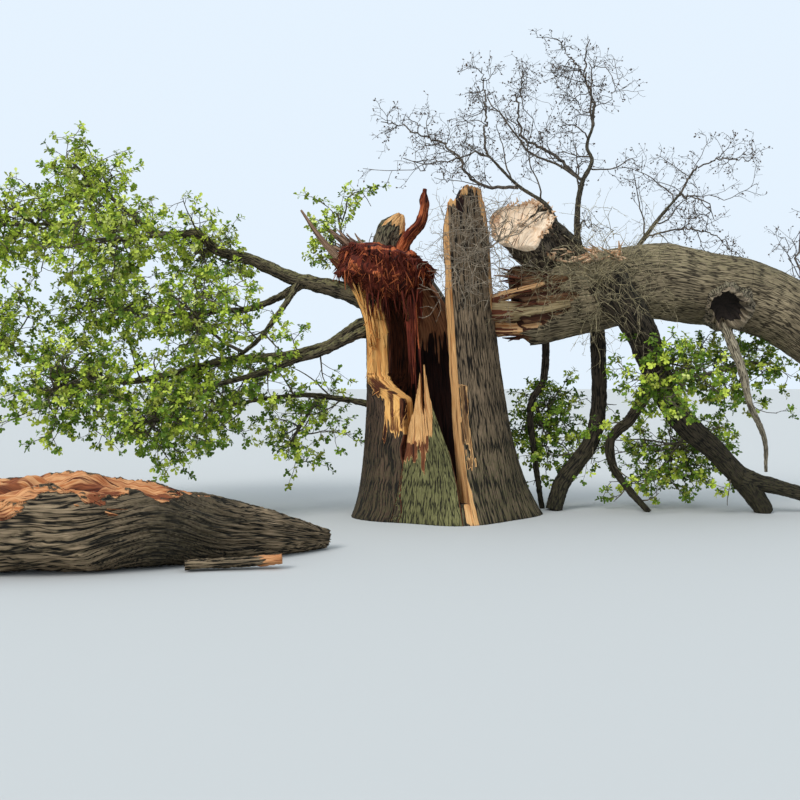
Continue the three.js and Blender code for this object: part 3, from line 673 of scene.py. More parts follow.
def tubes(lines, widths, sides):
    """Closed tapering tubes on lines of equally many points: their points, faces and grain. widths is the
    radius at each point of each line."""
    count, steps = lines.shape[:2]
    ahead = unit(np.gradient(lines, axis=1))
    across, up = square_to(ahead)
    turn = np.arange(sides) * FULL_TURN / sides
    ring = across[:, :, None] * np.cos(turn)[:, None] + up[:, :, None] * np.sin(turn)[:, None]
    points = lines[:, :, None] + ring * widths[:, :, None, None]
    tip = lines[:, -1:] + ahead[:, -1:] * widths[:, -1:, None] * 1.5
    points = np.concatenate([points.reshape(count, steps * sides, 3), tip], axis=1)
    each = steps * sides + 1
    first = np.arange(count)[:, None] * each
    ring_at = np.arange(steps - 1)[:, None] * sides
    side = np.arange(sides)
    after = (side + 1) % sides
    next_ring = ring_at + sides
    quads = np.stack([ring_at + side, ring_at + after, next_ring + after, next_ring + side], axis=-1)
    last = (steps - 1) * sides
    tips = np.stack([last + side, last + after, np.full(sides, each - 1)], axis=-1)
    root = side[::-1][None]
    faces = []
    for part in (quads, tips, root):
        corners = part.shape[-1]
        faces.append((first[:, :, None] + part.reshape(1, -1, corners)).reshape(-1, corners))
    reach = np.concatenate([[0], np.arange(1, steps)]) / (steps - 1)
    length = np.linalg.norm(np.diff(lines, axis=1), axis=-1).sum(1)
    grain = np.zeros((count, each, 2))
    grain[:, :-1, 0] = np.tile(np.arange(sides) * 0.02, steps) + np.arange(count)[:, None] * 0.37
    grain[:, :-1, 1] = np.repeat(reach, sides) * length[:, None]
    grain[:, -1] = np.stack([np.arange(count) * 0.37, length], axis=-1)
    return points.reshape(-1, 3), faces, grain.reshape(-1, 2)


def gather(batches):
    """Joins the points, faces and grain of several batches."""
    points, faces, grain, offset = [], [], [], 0
    for batch_points, batch_faces, batch_grain in batches:
        points.append(batch_points)
        grain.append(batch_grain)
        faces += [part + offset for part in batch_faces]
        offset += len(batch_points)
    return np.concatenate(points), faces, np.concatenate(grain)


def splinters(count, starts, ways, lengths, widths, bend, seed):
    """Thin bent splinters: five-point tubes of three sides."""
    chance = np.random.default_rng(seed)
    share = np.linspace(0, 1, 5)[None, :, None]
    size = chance.uniform(*lengths, (count, 1, 1))
    sag = unit(chance.normal(size=(count, 1, 3))) * size * bend
    lines = starts[:, None] + unit(ways)[:, None] * size * share + sag * share**2
    thick = chance.uniform(*widths, (count, 1)) * np.linspace(1, 0.15, 5) ** 0.8
    return tubes(lines, thick, 3)


SPLINTER_POINTS = 16  # five rings of three points and a tip


def rotten(chance, count, share):
    """Which of many splinters are rotten, as a mark at each of their points."""
    return np.repeat(chance.uniform(0, 1, count) < share, SPLINTER_POINTS).astype(float)


def torn_pieces(name, batch, rot, finish, slot_name, solid):
    """Many splinters as one piece of bare torn wood."""
    points, faces, grain = batch
    marks = {"relief": 1.0, "torn": 1.0, "rot": rot}
    return dress(joined(name, points, faces, marks, grain), finish, slot_name, solid)


HEART = np.array([-0.73, -0.12, 3.17])
HEART_REACH = np.array([0.56, 0.54, 0.31])


def heart_surface(way):
    """The heart's surface in a direction: it overhangs at the top, in lumps, and falls away to the right."""
    wider = 1 + 0.26 * way[..., 2:3] * np.array([1, 1, 0])
    lump = rough(way[..., 0] * 2.6, way[..., 1] * 2.6, way[..., 2] * 2.6, 80)
    clod = np.maximum(0, rough(way[..., 0] * 7, way[..., 1] * 7, way[..., 2] * 5, 86))
    high = np.clip(way[..., 2], 0, 1) * (0.03 - 0.16 * way[..., 0])
    lumpy = (1 + 0.19 * lump + 0.13 * clod)[..., None]
    return HEART + way * wider * HEART_REACH * lumpy + high[..., None] * [0, 0, 1]


def sphere_way(angle, tilt):
    """The way to a place on a ball, from the angle round it and the tilt above the level."""
    return np.stack([np.cos(tilt) * np.cos(angle), np.cos(tilt) * np.sin(angle), np.sin(tilt)], axis=-1)


def heart_place(turn, along):
    angle = turn * FULL_TURN
    tilt = (along - 0.5) * math.pi
    way = sphere_way(angle, tilt)
    groove = round_rough(angle, 9, way[:, 2] * 1.1, 84)
    points = heart_surface(way) - way * (0.035 * np.abs(groove) * np.cos(tilt))[:, None]
    rot = np.where(rough(way[:, 0] * 4, way[:, 1] * 4, way[:, 2] * 4, 88) > -0.45, 1.0, 0.4)
    return points, {"relief": 1.0, "torn": 1.0, "rot": rot, "grain": (angle * 0.6, tilt * 0.35)}


heart_oak = oak(
    "rotten_heart", (0.010, 0.005, 0.004), (0.060, 0.025, 0.018), OLD_MOSS, 0,
    tones((0.64, 0.190, 0.066), (0.34, 0.062, 0.020), (0.15, 0.022, 0.009)),
    tones((0.170, 0.027, 0.011), (0.040, 0.006, 0.003), (0.005, 0.002, 0.002)),
)
heart = skin("rotten_heart", 180, 110, heart_place)
dress(heart, heart_oak, "rotten_wood", "rotten_heart")

chance = np.random.default_rng(5)
shred_count = 1700
shred_way = sphere_way(
    chance.uniform(0, FULL_TURN, shred_count), np.arcsin(chance.uniform(-0.8, 0.95, shred_count)))
hang = shred_way * shred_way[:, 2:] - np.array([0, 0, 1])
level = np.cross(shred_way, [0, 0, 1]) * chance.normal(0, 0.6, (shred_count, 1))
shred_out = unit(hang + level) + shred_way * chance.uniform(-0.1, 0.24, (shred_count, 1))
shred_from = heart_surface(shred_way) - shred_way * 0.02
coarse = shred_count // 3
fine = shred_count - coarse
shreds = gather([
    splinters(coarse, shred_from[:coarse], shred_out[:coarse], (0.08, 0.22), (0.007, 0.018), 0.22, 6),
    splinters(fine, shred_from[coarse:], shred_out[coarse:], (0.04, 0.14), (0.003, 0.009), 0.3, 4)])
curtain_count = 70
curtain_start = np.stack([
    chance.uniform(-1.0, -0.28, curtain_count), chance.uniform(-0.50, -0.05, curtain_count),
    chance.uniform(2.86, 3.02, curtain_count)], axis=-1)
curtain_way = np.array([0.05, -0.05, -1]) + chance.normal(0, 0.10, (curtain_count, 3))
curtain = splinters(curtain_count, curtain_start, curtain_way, (0.12, 0.42), (0.008, 0.020), 0.08, 7)
shred_rot = rotten(chance, shred_count + curtain_count, 0.66)
shred_rot[-curtain_count * SPLINTER_POINTS :] = 1.0
torn_pieces("heart_shreds", gather([shreds, curtain]), shred_rot, heart_oak, "rotten_wood", "rotten_heart")

# Heart strip: long dark-red fibres of the heart that hang down into the split, in one ragged strip.

strip_count = 34
strip_from = np.array([-0.43, -0.33, 3.08])
strip_to = np.array([-0.39, -0.52, 1.58])
strip_start = strip_from + (strip_to - strip_from) * chance.uniform(0, 0.62, (strip_count, 1))
strip_start = strip_start + chance.normal(0, 1, (strip_count, 3)) * np.array([0.032, 0.022, 0.02])
strip_way = strip_to - strip_from + chance.normal(0, 0.035, (strip_count, 3))
strip_fibres = splinters(strip_count, strip_start, strip_way, (0.40, 0.75), (0.010, 0.024), 0.035, 9)
strip_rot = rotten(chance, strip_count, 0.82)
torn_pieces("heart_strip", strip_fibres, strip_rot, heart_oak, "rotten_wood", "heart_strip")

# Tan splinters: sound wood of the left stem that stands up in front of the heart, with some loose slivers on
# the edge of the split.



def on_left_edge(z, angle, radius, forward):
    """Points on the left stem's front edge at heights, as far out as the radius and moved to the front."""
    out = radius * np.cos(angle)
    return np.stack([TRUNK_LEAN * z + left_lean(z) + out, radius * np.sin(angle) - forward, z], axis=-1)


sliver_count = 60
sliver_z = chance.uniform(2.15, 2.90, sliver_count)
sliver_angle = np.radians(left_front(sliver_z) + chance.uniform(-9, 4, sliver_count))
sliver_from = 0.83 - 0.27 * chance.uniform(0, 1, sliver_count) ** 2
sliver_start = on_left_edge(sliver_z, sliver_angle, sliver_from, 0.015)
sliver_way = np.array([-0.16, -0.05, 1]) + chance.normal(0, 0.06, (sliver_count, 3))
sliver_way[:, 0] -= 0.45 * np.clip(sliver_z - 2.4, 0, 1)
slivers = splinters(sliver_count, sliver_start, sliver_way, (0.18, 0.55), (0.010, 0.030), 0.05, 12)
loose_count = 22
loose_z = chance.uniform(1.3, 2.7, loose_count)
loose_angle = np.radians(left_front(loose_z) - 1)
loose_start = on_left_edge(loose_z, loose_angle, 0.80, 0.02)
loose_way = np.array([-0.1, -0.35, -0.8]) + chance.normal(0, 0.35, (loose_count, 3))
loose = splinters(loose_count, loose_start, loose_way, (0.08, 0.34), (0.006, 0.016), 0.2, 13)
tan_batch = gather([slivers, loose])
red_tips = 0.9 * rise(tan_batch[0][:, 2] - 2.85, 0.3)
torn_pieces("tan_splinters", tan_batch, red_tips, left_oak, "torn_wood", "trunk_left_stem")


STEPS_EACH_RUN = 40  # steps between two points of a route, before its line is spaced evenly


def smooth_line(route, count):
    """Evenly spaced points on a smooth line through the route's points."""
    route = np.array(route, float)
    guides = np.vstack([2 * route[0] - route[1], route, 2 * route[-1] - route[-2]])
    step = np.linspace(0, 1, STEPS_EACH_RUN, endpoint=False)[:, None]
    runs = []
    for p0, p1, p2, p3 in zip(guides, guides[1:], guides[2:], guides[3:]):
        d0, d1, d2 = (max(np.linalg.norm(b - a), 1e-6) ** 0.5 for a, b in ((p0, p1), (p1, p2), (p2, p3)))
        leave = ((p1 - p0) / d0 - (p2 - p0) / (d0 + d1) + (p2 - p1) / d1) * d1
        reach = ((p2 - p1) / d1 - (p3 - p1) / (d1 + d2) + (p3 - p2) / d2) * d1
        square = 3 * (p2 - p1) - 2 * leave - reach
        cube = 2 * (p1 - p2) + leave + reach
        runs.append(p1 + step * leave + step**2 * square + step**3 * cube)
    line = np.vstack([*runs, route[-1:]])
    gone = np.concatenate([[0], np.cumsum(np.linalg.norm(np.diff(line, axis=0), axis=1))])
    even = np.linspace(0, gone[-1], count)
    return np.stack([np.interp(even, gone, line[:, axis]) for axis in range(3)], axis=-1)


def side_ways(line):
    """Two directions square to the line at each of its points, carried along it without twist."""
    ahead = unit(np.gradient(line, axis=0))
    across = np.zeros_like(line)
    across[0] = unit(np.cross(ahead[0], [0.13, 0.21, 0.97]))
    for i in range(1, len(line)):
        across[i] = unit(across[i - 1] - ahead[i] * np.dot(across[i - 1], ahead[i]))
    return across, np.cross(ahead, across)


def round_line(radius, angle, across, up):
    """How far points round a line lie from it."""
    return radius[:, None] * (np.cos(angle)[:, None] * across + np.sin(angle)[:, None] * up)


MEASURED_POINTS = 300  # points on a route when its length is measured
limbs = {}  # each limb's line and its radius along it, for what grows on it


def timber(
    name, route, root, tip, cell=0.016, plate=(0.045, 0.2), depth=0.012, swell=0.0, knobs=0.08, shape=None,
    seed=0,
    part=(0, 1), bulge=0.0, cap=6, tilt=None, whorl=None,
):
    """A tapering limb along a route, or a part of one, with the bark's relief. shape may change its radius
    and give its marks, from the angle round it, the distance along it and its length. tilt is the way its
    torn end faces, and whorl where along it the bark bows out round an old branch, how far that reaches and
    by what share of a turn. A whorl also brings painted shade: the dark mark, deepest near the whorl and
    faint all along the limb."""
    length = np.linalg.norm(np.diff(smooth_line(route, MEASURED_POINTS), axis=0), axis=1).sum()
    stations = int(length / cell)
    line = smooth_line(route, stations + 1)
    across, up = side_ways(line)
    ahead = unit(np.gradient(line, axis=0))
    girth = max(root, tip, (root + tip) / 2 + bulge)
    around = max(10, int(FULL_TURN * girth / cell))
    plates = max(5, round(math.pi * (root + tip + bulge) / plate[0]))
    widths = np.linspace(root, tip, stations + 1) + bulge * np.sin(np.linspace(0, math.pi, stations + 1))
    limbs[name] = (line, widths)
    first, last = round(part[0] * stations), round(part[1] * stations)
    rows = last - first + 2 * cap

    def place(turn, run):
        row = np.rint(run * rows).astype(int)
        inward = np.clip(np.minimum(row, rows - row) / cap, 0, 1)
        close = np.where(inward < 1, inward**0.8, 1)
        station = first + np.clip(row - cap, 0, last - first)
        gone = station / stations * length
        angle = turn * FULL_TURN
        bowed, dark = 0.0, 0.0
        if whorl:
            near, reach, turned = whorl
            bowed = turned * np.exp(-(((gone - near) / reach) ** 2)) * (1 + 0.25 * np.sin(angle + 1))
            bowed = bowed + 0.018 * rough(np.cos(angle), np.sin(angle), gone * 1.3, seed + 8)
            # painted shade in the dark mark: deepest just before the whorl, and faint all along the limb
            dark = 0.77 * np.exp(-(((gone - near + 0.15) / (1.8 * reach)) ** 2)) + 0.11
        relief = bark((turn + bowed) % 1.0, gone, plates, plate[1], seed)
        lump = round_rough(angle, 1.3, gone / (root + tip) * 1.2, seed + 3)
        radius = (widths[station] + swell * root * np.exp(-gone / (1.6 * root))) * (1 + knobs * lump)
        marks = {"torn": 0.0, "rot": 0.0, "slide": 0.0, "depth": depth}
        if shape:
            radius, changed = shape(radius, angle, gone, length, close)
            marks.update(changed)
        radius = close * (radius + marks["depth"] * (relief - 1))
        sideways = round_line(radius, angle, across[station], up[station])
        slide = np.broadcast_to(marks["slide"], gone.shape)
        if tilt is not None:
            lifted = sideways @ np.array(tilt) / (ahead[station] @ np.array(tilt))
            slide = slide - lifted * rise(gone - length + 0.3, 0.3)
        points = line[station] + ahead[station] * slide[:, None] + sideways
        points[:, 2] = np.maximum(points[:, 2], 0.0)
        flat = close < 1
        grain = (
            np.where(flat, radius * np.cos(angle) + 7, (turn + bowed) * FULL_TURN * girth),
            np.where(flat, radius * np.sin(angle), gone),
        )
        marks.update(relief=relief, dark=dark, grain=grain)
        return points, marks

    return skin(name, around, rows, place)


def all_torn(rot):
    """The shape of a piece that is bare torn wood all over."""

    def shape(radius, angle, gone, length, close):
        ragged = round_rough(angle, 3, gone * 1.5, 90)
        return radius * (1 + 0.16 * ragged), {"torn": 1.0, "rot": rot * (ragged > -0.2), "depth": 0.0}

    return shape


# Splinters on the broken top: a long grey-brown one and a bundle lean out to the left, a red one curls up at
# the right, and a barked stub with a pale broken end stands between. All are torn along their grain.

weathered_oak = oak(
    "splinter_wood", (0.020, 0.012, 0.008), (0.15, 0.115, 0.085), OLD_MOSS, 0.4,
    tones((0.36, 0.225, 0.145), (0.130, 0.068, 0.040), (0.034, 0.013, 0.008)),
)
long_splinter = timber(
    "long_splinter", [(-1.15, 0, 3.05), (-1.34, 0.01, 3.33), (-1.62, 0.04, 3.64), (-1.89, 0.07, 4.03)],
    0.072, 0.014, 0.010, shape=all_torn(0.0), seed=7,
)
dress(long_splinter, weathered_oak, "torn_wood", "long_splinter")

bundle_from = np.array([-1.02, 0.03, 3.36])
bundle_to = np.array([-1.49, 0.11, 3.70])
bundle_count = 20
bundle_start = bundle_from + chance.normal(0, 0.055, (bundle_count, 3))
bundle_way = bundle_to - bundle_from + chance.normal(0, 0.10, (bundle_count, 3))
bundle = splinters(bundle_count, bundle_start, bundle_way, (0.34, 0.66), (0.026, 0.062), 0.08, 8)
torn_pieces("splinter_bundle", bundle, 0.0, weathered_oak, "torn_wood", "short_splinters")


def broken_tip(radius, angle, gone, length, close):
    jag = round_rough(angle, 4, 0.0, 91)
    left = length - gone
    rounded = np.sqrt(np.clip(left / 0.22 + 0.12, 0.1, 1))
    right = rise(np.sin(angle) - 0.2 + 0.3 * jag, 0.2) * rise(0.24 + 0.08 * jag - left, 0.03)
    return radius * rounded, {"torn": right, "slide": 0.02 * jag * (left < 0.1)}


def curled(radius, angle, gone, length, close):
    flat = 1 - 0.4 * np.abs(np.sin(angle))
    ragged = round_rough(angle, 2.5, gone * 5, 92)
    point = np.clip((length - gone) / 0.16, 0.3, 1) ** 0.6
    radius = radius * flat * point * (1 + 0.38 * ragged)
    return radius, {"torn": 1.0, "rot": 0.52 + 0.4 * ragged, "depth": 0.0}


stub = timber(
    "knob_stub", [(-0.80, 0, 3.33), (-0.73, 0.01, 3.62), (-0.56, 0.02, 3.96)], 0.17, 0.15, 0.013,
    shape=broken_tip, seed=9, knobs=0.22, bulge=0.02,
)
stub_oak = oak("stub_bark", (0.012, 0.009, 0.006), (0.18, 0.145, 0.095), OLD_MOSS, 0.8, plate=(0.04, 0.16))
dress(stub, stub_oak, "bark", "knob_stub")

curl = timber(
    "curved_splinter",
    [(-0.62, -0.06, 3.30), (-0.48, -0.07, 3.62), (-0.29, -0.06, 3.87), (-0.24, -0.05, 4.29)],
    0.115, 0.062, 0.011, shape=curled, seed=11,
)
dress(curl, heart_oak, "rotten_wood", "curved_splinter")

# Fallen stem: the right half of the tree, torn off at the trunk. It arches over and down to the ground as
# one tapering timber with finely cracked bark, olive with moss on its upper side. Its butt is torn to tan
# splinters.

FALLEN_ROUTE = [
    (1.09, 0, 2.80), (1.95, 0, 2.922), (2.76, 0.05, 3.073), (3.44, 0.10, 2.99), (4.00, 0.15, 2.925),
    (4.58, 0.20, 2.70), (5.40, 0.24, 2.08), (6.20, 0.20, 1.33), (7.05, 0.10, 0.48),
]
FALLEN_PARTS = {"fallen_stem_end": (0.7, 1), "fallen_stem_arch": (0.42, 0.7), "fallen_stem_butt": (0, 0.42)}
TORN_DIM = tones((0.24, 0.125, 0.058), (0.085, 0.036, 0.016), (0.022, 0.010, 0.006))
fallen_oak = oak(
    "fallen_bark", (0.036, 0.027, 0.016), (0.325, 0.258, 0.160), (0.235, 0.205, 0.098), 0.6, TORN_DIM,
    tones((0.10, 0.036, 0.018), (0.030, 0.011, 0.007), (0.010, 0.005, 0.003)), (0.034, 0.30),
)


def torn_butt(radius, angle, gone, length, close):
    ragged = round_rough(angle, 2.2, gone * 0.8, 95)
    fine = round_rough(angle, 9, gone * 1.2, 97)
    torn = rise(0.34 + 0.30 * ragged - gone, 0.05)
    end = rise(0.05 - gone, 0.05)
    radius = radius * (1 - torn * (0.12 + 0.16 * np.abs(fine)))
    rot = torn * (fine > 0.05)
    return radius, {"torn": torn, "rot": rot, "slide": -end * 0.10 * (1 + fine), "depth": 0.010 * (1 - torn)}


for name, part in FALLEN_PARTS.items():
    shape = torn_butt if part[0] == 0 else None
    fallen = timber(
        name, FALLEN_ROUTE, 0.56, 0.33, 0.020, (0.048, 0.25), 0.010, knobs=0.07, shape=shape, seed=13,
        part=part)
    dress(fallen, fallen_oak, "mossy_bark", name)
limbs["fallen_stem"] = limbs["fallen_stem_butt"]

# Torn slab and butt splinters: the underside of the tear. Three planks of tan and olive wood run from the
# trunk to a point under the butt's bark, and splinters of all lengths stand out round them.

slab_oak = oak(
    "torn_slab", (0.025, 0.015, 0.009), (0.15, 0.12, 0.085), OLD_MOSS, 0.2,
    tones((0.46, 0.35, 0.190), (0.24, 0.165, 0.075), (0.12, 0.085, 0.035)),
    tones((0.16, 0.046, 0.020), (0.060, 0.017, 0.009), (0.016, 0.007, 0.005)),
)
tan_slab_oak = oak(
    "torn_slab_tan", (0.025, 0.015, 0.009), (0.15, 0.12, 0.085), OLD_MOSS, 0,
    tones((0.82, 0.52, 0.26), (0.52, 0.235, 0.080), (0.36, 0.125, 0.036)),
    tones((0.16, 0.046, 0.020), (0.060, 0.017, 0.009), (0.016, 0.007, 0.005)),
)


def plank(radius, angle, gone, length, close):
    square = np.maximum(np.abs(np.cos(angle)), np.abs(np.sin(angle)))
    ragged = round_rough(angle, 4, gone * 1.1, 93)
    radius = radius * (0.86 / square + 0.12 * ragged)
    return radius, {"torn": 1.0, "rot": 1.0 * (ragged > 0.40), "depth": 0.0}


SLABS = {
    "torn_slab": (0.155, 0.050, [(0.66, -0.18, 2.66), (1.00, -0.34, 2.66), (1.62, -0.46, 2.74)]),
    "torn_slab_foot": (0.100, 0.030, [(0.70, -0.14, 2.44), (1.00, -0.26, 2.43), (1.50, -0.36, 2.50)]),
    "torn_slab_top": (0.070, 0.020, [(0.66, -0.20, 2.82), (0.90, -0.38, 2.89), (1.28, -0.50, 3.00)]),
}
for number, (name, (root, tip, route)) in enumerate(SLABS.items()):
    slab = timber(name, route, root, tip, 0.012, shape=plank, seed=17 + number)
    dress(slab, slab_oak if name == "torn_slab" else tan_slab_oak, "torn_wood", "torn_slab")

butt_count = 120
butt_angle = chance.uniform(0, FULL_TURN, butt_count)
butt_out = 0.50 * np.sqrt(chance.uniform(0.1, 1, butt_count))
butt_x = chance.uniform(1.0, 1.35, butt_count)
butt_start = np.stack([butt_x, butt_out * np.cos(butt_angle), 2.80 + butt_out * np.sin(butt_angle)], axis=-1)
butt_way = np.stack(
    [-np.ones(butt_count), chance.normal(0, 0.2, butt_count), chance.normal(0, 0.2, butt_count)], axis=-1)
butt = splinters(butt_count, butt_start, butt_way, (0.10, 0.38), (0.012, 0.040), 0.14, 18)
torn_pieces(
    "butt_splinters", butt, rotten(chance, butt_count, 0.74), slab_oak, "torn_wood", "fallen_stem_butt")

# Broken stub: the snapped base of a great limb on the butt, dark and barked underneath, with a pale cream
# face of fresh wood that looks up and to the front. Orange slivers stand on the rim of the face and along
# the tear.

SNAPPED_ROUTE = [(1.85, 0.35, 3.18), (1.35, -0.06, 3.50), (0.98, -0.47, 3.76)]
SNAPPED_WAY = np.array([-0.30, -0.78, 0.55])


def snapped_face(radius, angle, gone, length, close):
    ragged = round_rough(angle, 2.5, gone * 2, 101)
    torn = rise(gone - length + 0.05 + 0.05 * ragged, 0.03)
    corner = 1 + 0.10 * np.cos(angle * 3 + 0.4) + 0.06 * np.cos(angle * 5 + 1.9)
    chips = rough(np.cos(angle) * close * 5, np.sin(angle) * close * 1.2, 0.0, 103)
    slide = (close < 1) * (gone > length / 2) * 0.045 * chips + torn * 0.03 * ragged
    return radius * corner, {"torn": torn, "rot": 0.0, "slide": slide, "depth": 0.02 * (1 - torn)}


cream_oak = oak(
    "snapped_wood", (0.012, 0.008, 0.005), (0.13, 0.10, 0.07), OLD_MOSS, 0.3,
    tones((0.95, 0.76, 0.56), (0.80, 0.56, 0.36), (0.70, 0.42, 0.21)),
)
snapped = timber(
    "broken_stub", SNAPPED_ROUTE, 0.33, 0.385, 0.015, (0.06, 0.24), 0.024, knobs=0.10, shape=snapped_face,
    seed=23,
    cap=16, tilt=SNAPPED_WAY,
)
dress(snapped, cream_oak, "torn_wood", "broken_stub")

rim_count = 90
rim_angle = chance.uniform(-0.5, 3.9, rim_count)
rim_across = unit(np.cross(SNAPPED_WAY, [0, 0, 1]))
rim_up = np.cross(rim_across, SNAPPED_WAY)
rim_out = np.cos(rim_angle)[:, None] * rim_across + np.sin(rim_angle)[:, None] * rim_up
rim_start = np.array(SNAPPED_ROUTE[-1]) + rim_out * chance.uniform(0.33, 0.42, (rim_count, 1))
rim_way = rim_out * 0.5 + SNAPPED_WAY * 0.5 + chance.normal(0, 0.5, (rim_count, 3))
rim_slivers = splinters(rim_count, rim_start, rim_way, (0.02, 0.07), (0.010, 0.028), 0.3, 19)
scrap_count = 50
scrap_x = chance.uniform(1.35, 2.35, scrap_count)
scrap_y = chance.uniform(-0.5, -0.28, scrap_count)
scrap_z = 3.36 + 0.03 * (scrap_x - 1.35) + chance.normal(0, 0.05, scrap_count)
scrap_start = np.stack([scrap_x, scrap_y, scrap_z], axis=-1)
scrap_way = np.array([-0.7, -0.3, 0.05]) + chance.normal(0, 1, (scrap_count, 3)) * np.array([0.5, 0.4, 0.22])
scraps = splinters(scrap_count, scrap_start, scrap_way, (0.06, 0.22), (0.014, 0.038), 0.2, 21)
sliver_oak = oak(
    "tear_sliver", (0.02, 0.012, 0.008), (0.13, 0.10, 0.07), OLD_MOSS, 0,
    tones((0.88, 0.62, 0.40), (0.62, 0.33, 0.150), (0.40, 0.150, 0.055)),
)
torn_pieces("tear_slivers", gather([rim_slivers, scraps]), 0.0, sliver_oak, "torn_wood", "broken_stub")

# Knot: a ragged burr of callus round a rotted branch hole, on the front of the arch.

KNOT_ROUTE = [(3.76, 0.02, 2.86), (3.69, -0.24, 2.74), (3.65, -0.44, 2.66)]
KNOT_POINTS = 60
KNOT_LENGTH = 0.50
KNOT_REACH = [0.0, 0.24, 0.43, 0.50, 0.51, 0.47, 0.43, 0.42]
KNOT_WIDTH = [0.30, 0.31, 0.29, 0.25, 0.19, 0.15, 0.11, 0.0]


def knot_place(turn, run):
    line = smooth_line(KNOT_ROUTE, KNOT_POINTS)
    across, up = side_ways(line)
    stop = np.linspace(0, 1, len(KNOT_REACH))
    gone = np.interp(run, stop, KNOT_REACH)
    radius = np.interp(run, stop, KNOT_WIDTH) * np.interp(run, [0, 0.04], [0, 1])
    angle = turn * FULL_TURN
    lump = round_rough(angle, 1.8, gone * 4, 110)
    ragged = round_rough(angle, 6, 0.0, 115)
    relief = bark(turn, run, 22, 0.12, 111)
    rim = np.exp(-(((run - 0.5) / 0.14) ** 2))
    radius = radius * (1 + 0.24 * lump) + 0.016 * (relief - 1) * (run < 0.45)
    last = KNOT_POINTS - 1
    station = np.clip(np.rint(gone / KNOT_LENGTH * last), 0, last).astype(int)
    ahead = unit(np.gradient(line, axis=0))[station]
    points = line[station] + ahead * (rim * 0.09 * ragged)[:, None]
    points = points + round_line(radius, angle, across[station], up[station])
    inside = rise(run - 0.4, 0.2)[:, None]
    points = points + inside * np.array([-0.05, 0, 0.05])
    torn = rise(run - 0.36 + 0.1 * ragged, 0.06)
    rot = rise(run - 0.56 + 0.06 * ragged, 0.04)
    return points, {"relief": relief, "torn": torn, "rot": rot, "grain": (angle * 0.27, run * 0.9)}


knot_oak = oak(
    "knot_callus", (0.018, 0.013, 0.008), (0.26, 0.215, 0.150), OLD_MOSS, 0.4,
    tones((0.34, 0.27, 0.18), (0.13, 0.09, 0.055), (0.04, 0.026, 0.017)),
    tones((0.020, 0.013, 0.009), (0.008, 0.005, 0.004), (0.004, 0.003, 0.002)),
    (0.03, 0.08),
)
knot = skin("knot_burr", 110, 90, knot_place)
dress(knot, knot_oak, "bark", "knot_burr")

# Props: the fallen stem's own limbs, on which it stands. They are round dark limbs, bent or snapped where
# they hit the ground, with a thinner branch and a pale dead one hanging from the knot.

limb_oak = oak(
    "limb_bark", (0.004, 0.003, 0.002), (0.074, 0.056, 0.038), (0.070, 0.068, 0.026), 0.5,
    plate=(0.034, 0.28))
dead_oak = oak("dead_bark", (0.075, 0.062, 0.045), (0.44, 0.38, 0.27), OLD_MOSS, 0.1, plate=(0.03, 0.2))
PROPS = {
    "prop_limb": (limb_oak, 0.215, 0.12, [
        (2.06, -0.44, 3.07), (2.34, -0.49, 2.66), (2.59, -0.37, 2.28), (2.76, -0.23, 1.89),
        (3.084, -0.16, 1.306), (3.645, -0.14, 0.76), (4.138, -0.06, 0.215), (4.293, 0, 0.01)]),
    "prop_fork": (limb_oak, 0.12, 0.075, [
        (3.90, -0.09, 0.48), (4.402, -0.06, 0.348), (4.83, 0, 0.23), (5.33, 0.06, 0.02)]),
    "left_prop": (limb_oak, 0.10, 0.12, [
        (2.08, 0.20, 2.80), (2.13, 0.33, 1.305), (2.022, 0.33, 0.895), (1.623, 0.30, 0.338),
        (1.52, 0.26, 0.0)]),
    "thin_prop": (limb_oak, 0.062, 0.04, [
        (1.40, 0.25, 2.70), (1.386, 0.38, 1.755), (1.225, 0.40, 1.453), (1.29, 0.42, 0.643),
        (1.39, 0.47, 0.0)]),
    "crooked_branch": (limb_oak, 0.092, 0.042, [
        (2.78, -0.06, 1.78), (2.517, 0.06, 1.259), (2.25, 0.09, 0.961), (2.29, 0.12, 0.624),
        (2.50, 0.12, 0.30), (2.763, 0.06, 0.0)]),
    "hanging_branch": (dead_oak, 0.082, 0.024, [
        (3.64, -0.09, 2.72), (3.70, -0.26, 2.38), (3.864, -0.33, 1.894), (3.963, -0.35, 1.454),
        (4.15, -0.36, 1.0), (4.164, -0.38, 0.575)]),
    "end_bough_front": (fallen_oak, 0.17, 0.07, [
        (6.85, 0.06, 0.70), (7.35, -0.42, 0.62), (7.75, -0.85, 0.90)]),
    "end_bough_back": (fallen_oak, 0.16, 0.064, [
        (6.70, 0.15, 0.88), (7.25, 0.60, 1.15), (7.70, 0.90, 1.65)]),
}
for number, (name, (finish, root, tip, route)) in enumerate(PROPS.items()):
    prop = timber(name, route, root, tip, 0.020, (0.040, 0.13), 0.010, 0.5, 0.10, seed=30 + number)
    slot_name = "mossy_bark" if finish is fallen_oak else "bark"
    dress(prop, finish, slot_name, name)

# Bare limbs: thin grey limbs that rise from the fallen stem and carry its bare crown. They kink at each old
# bud.

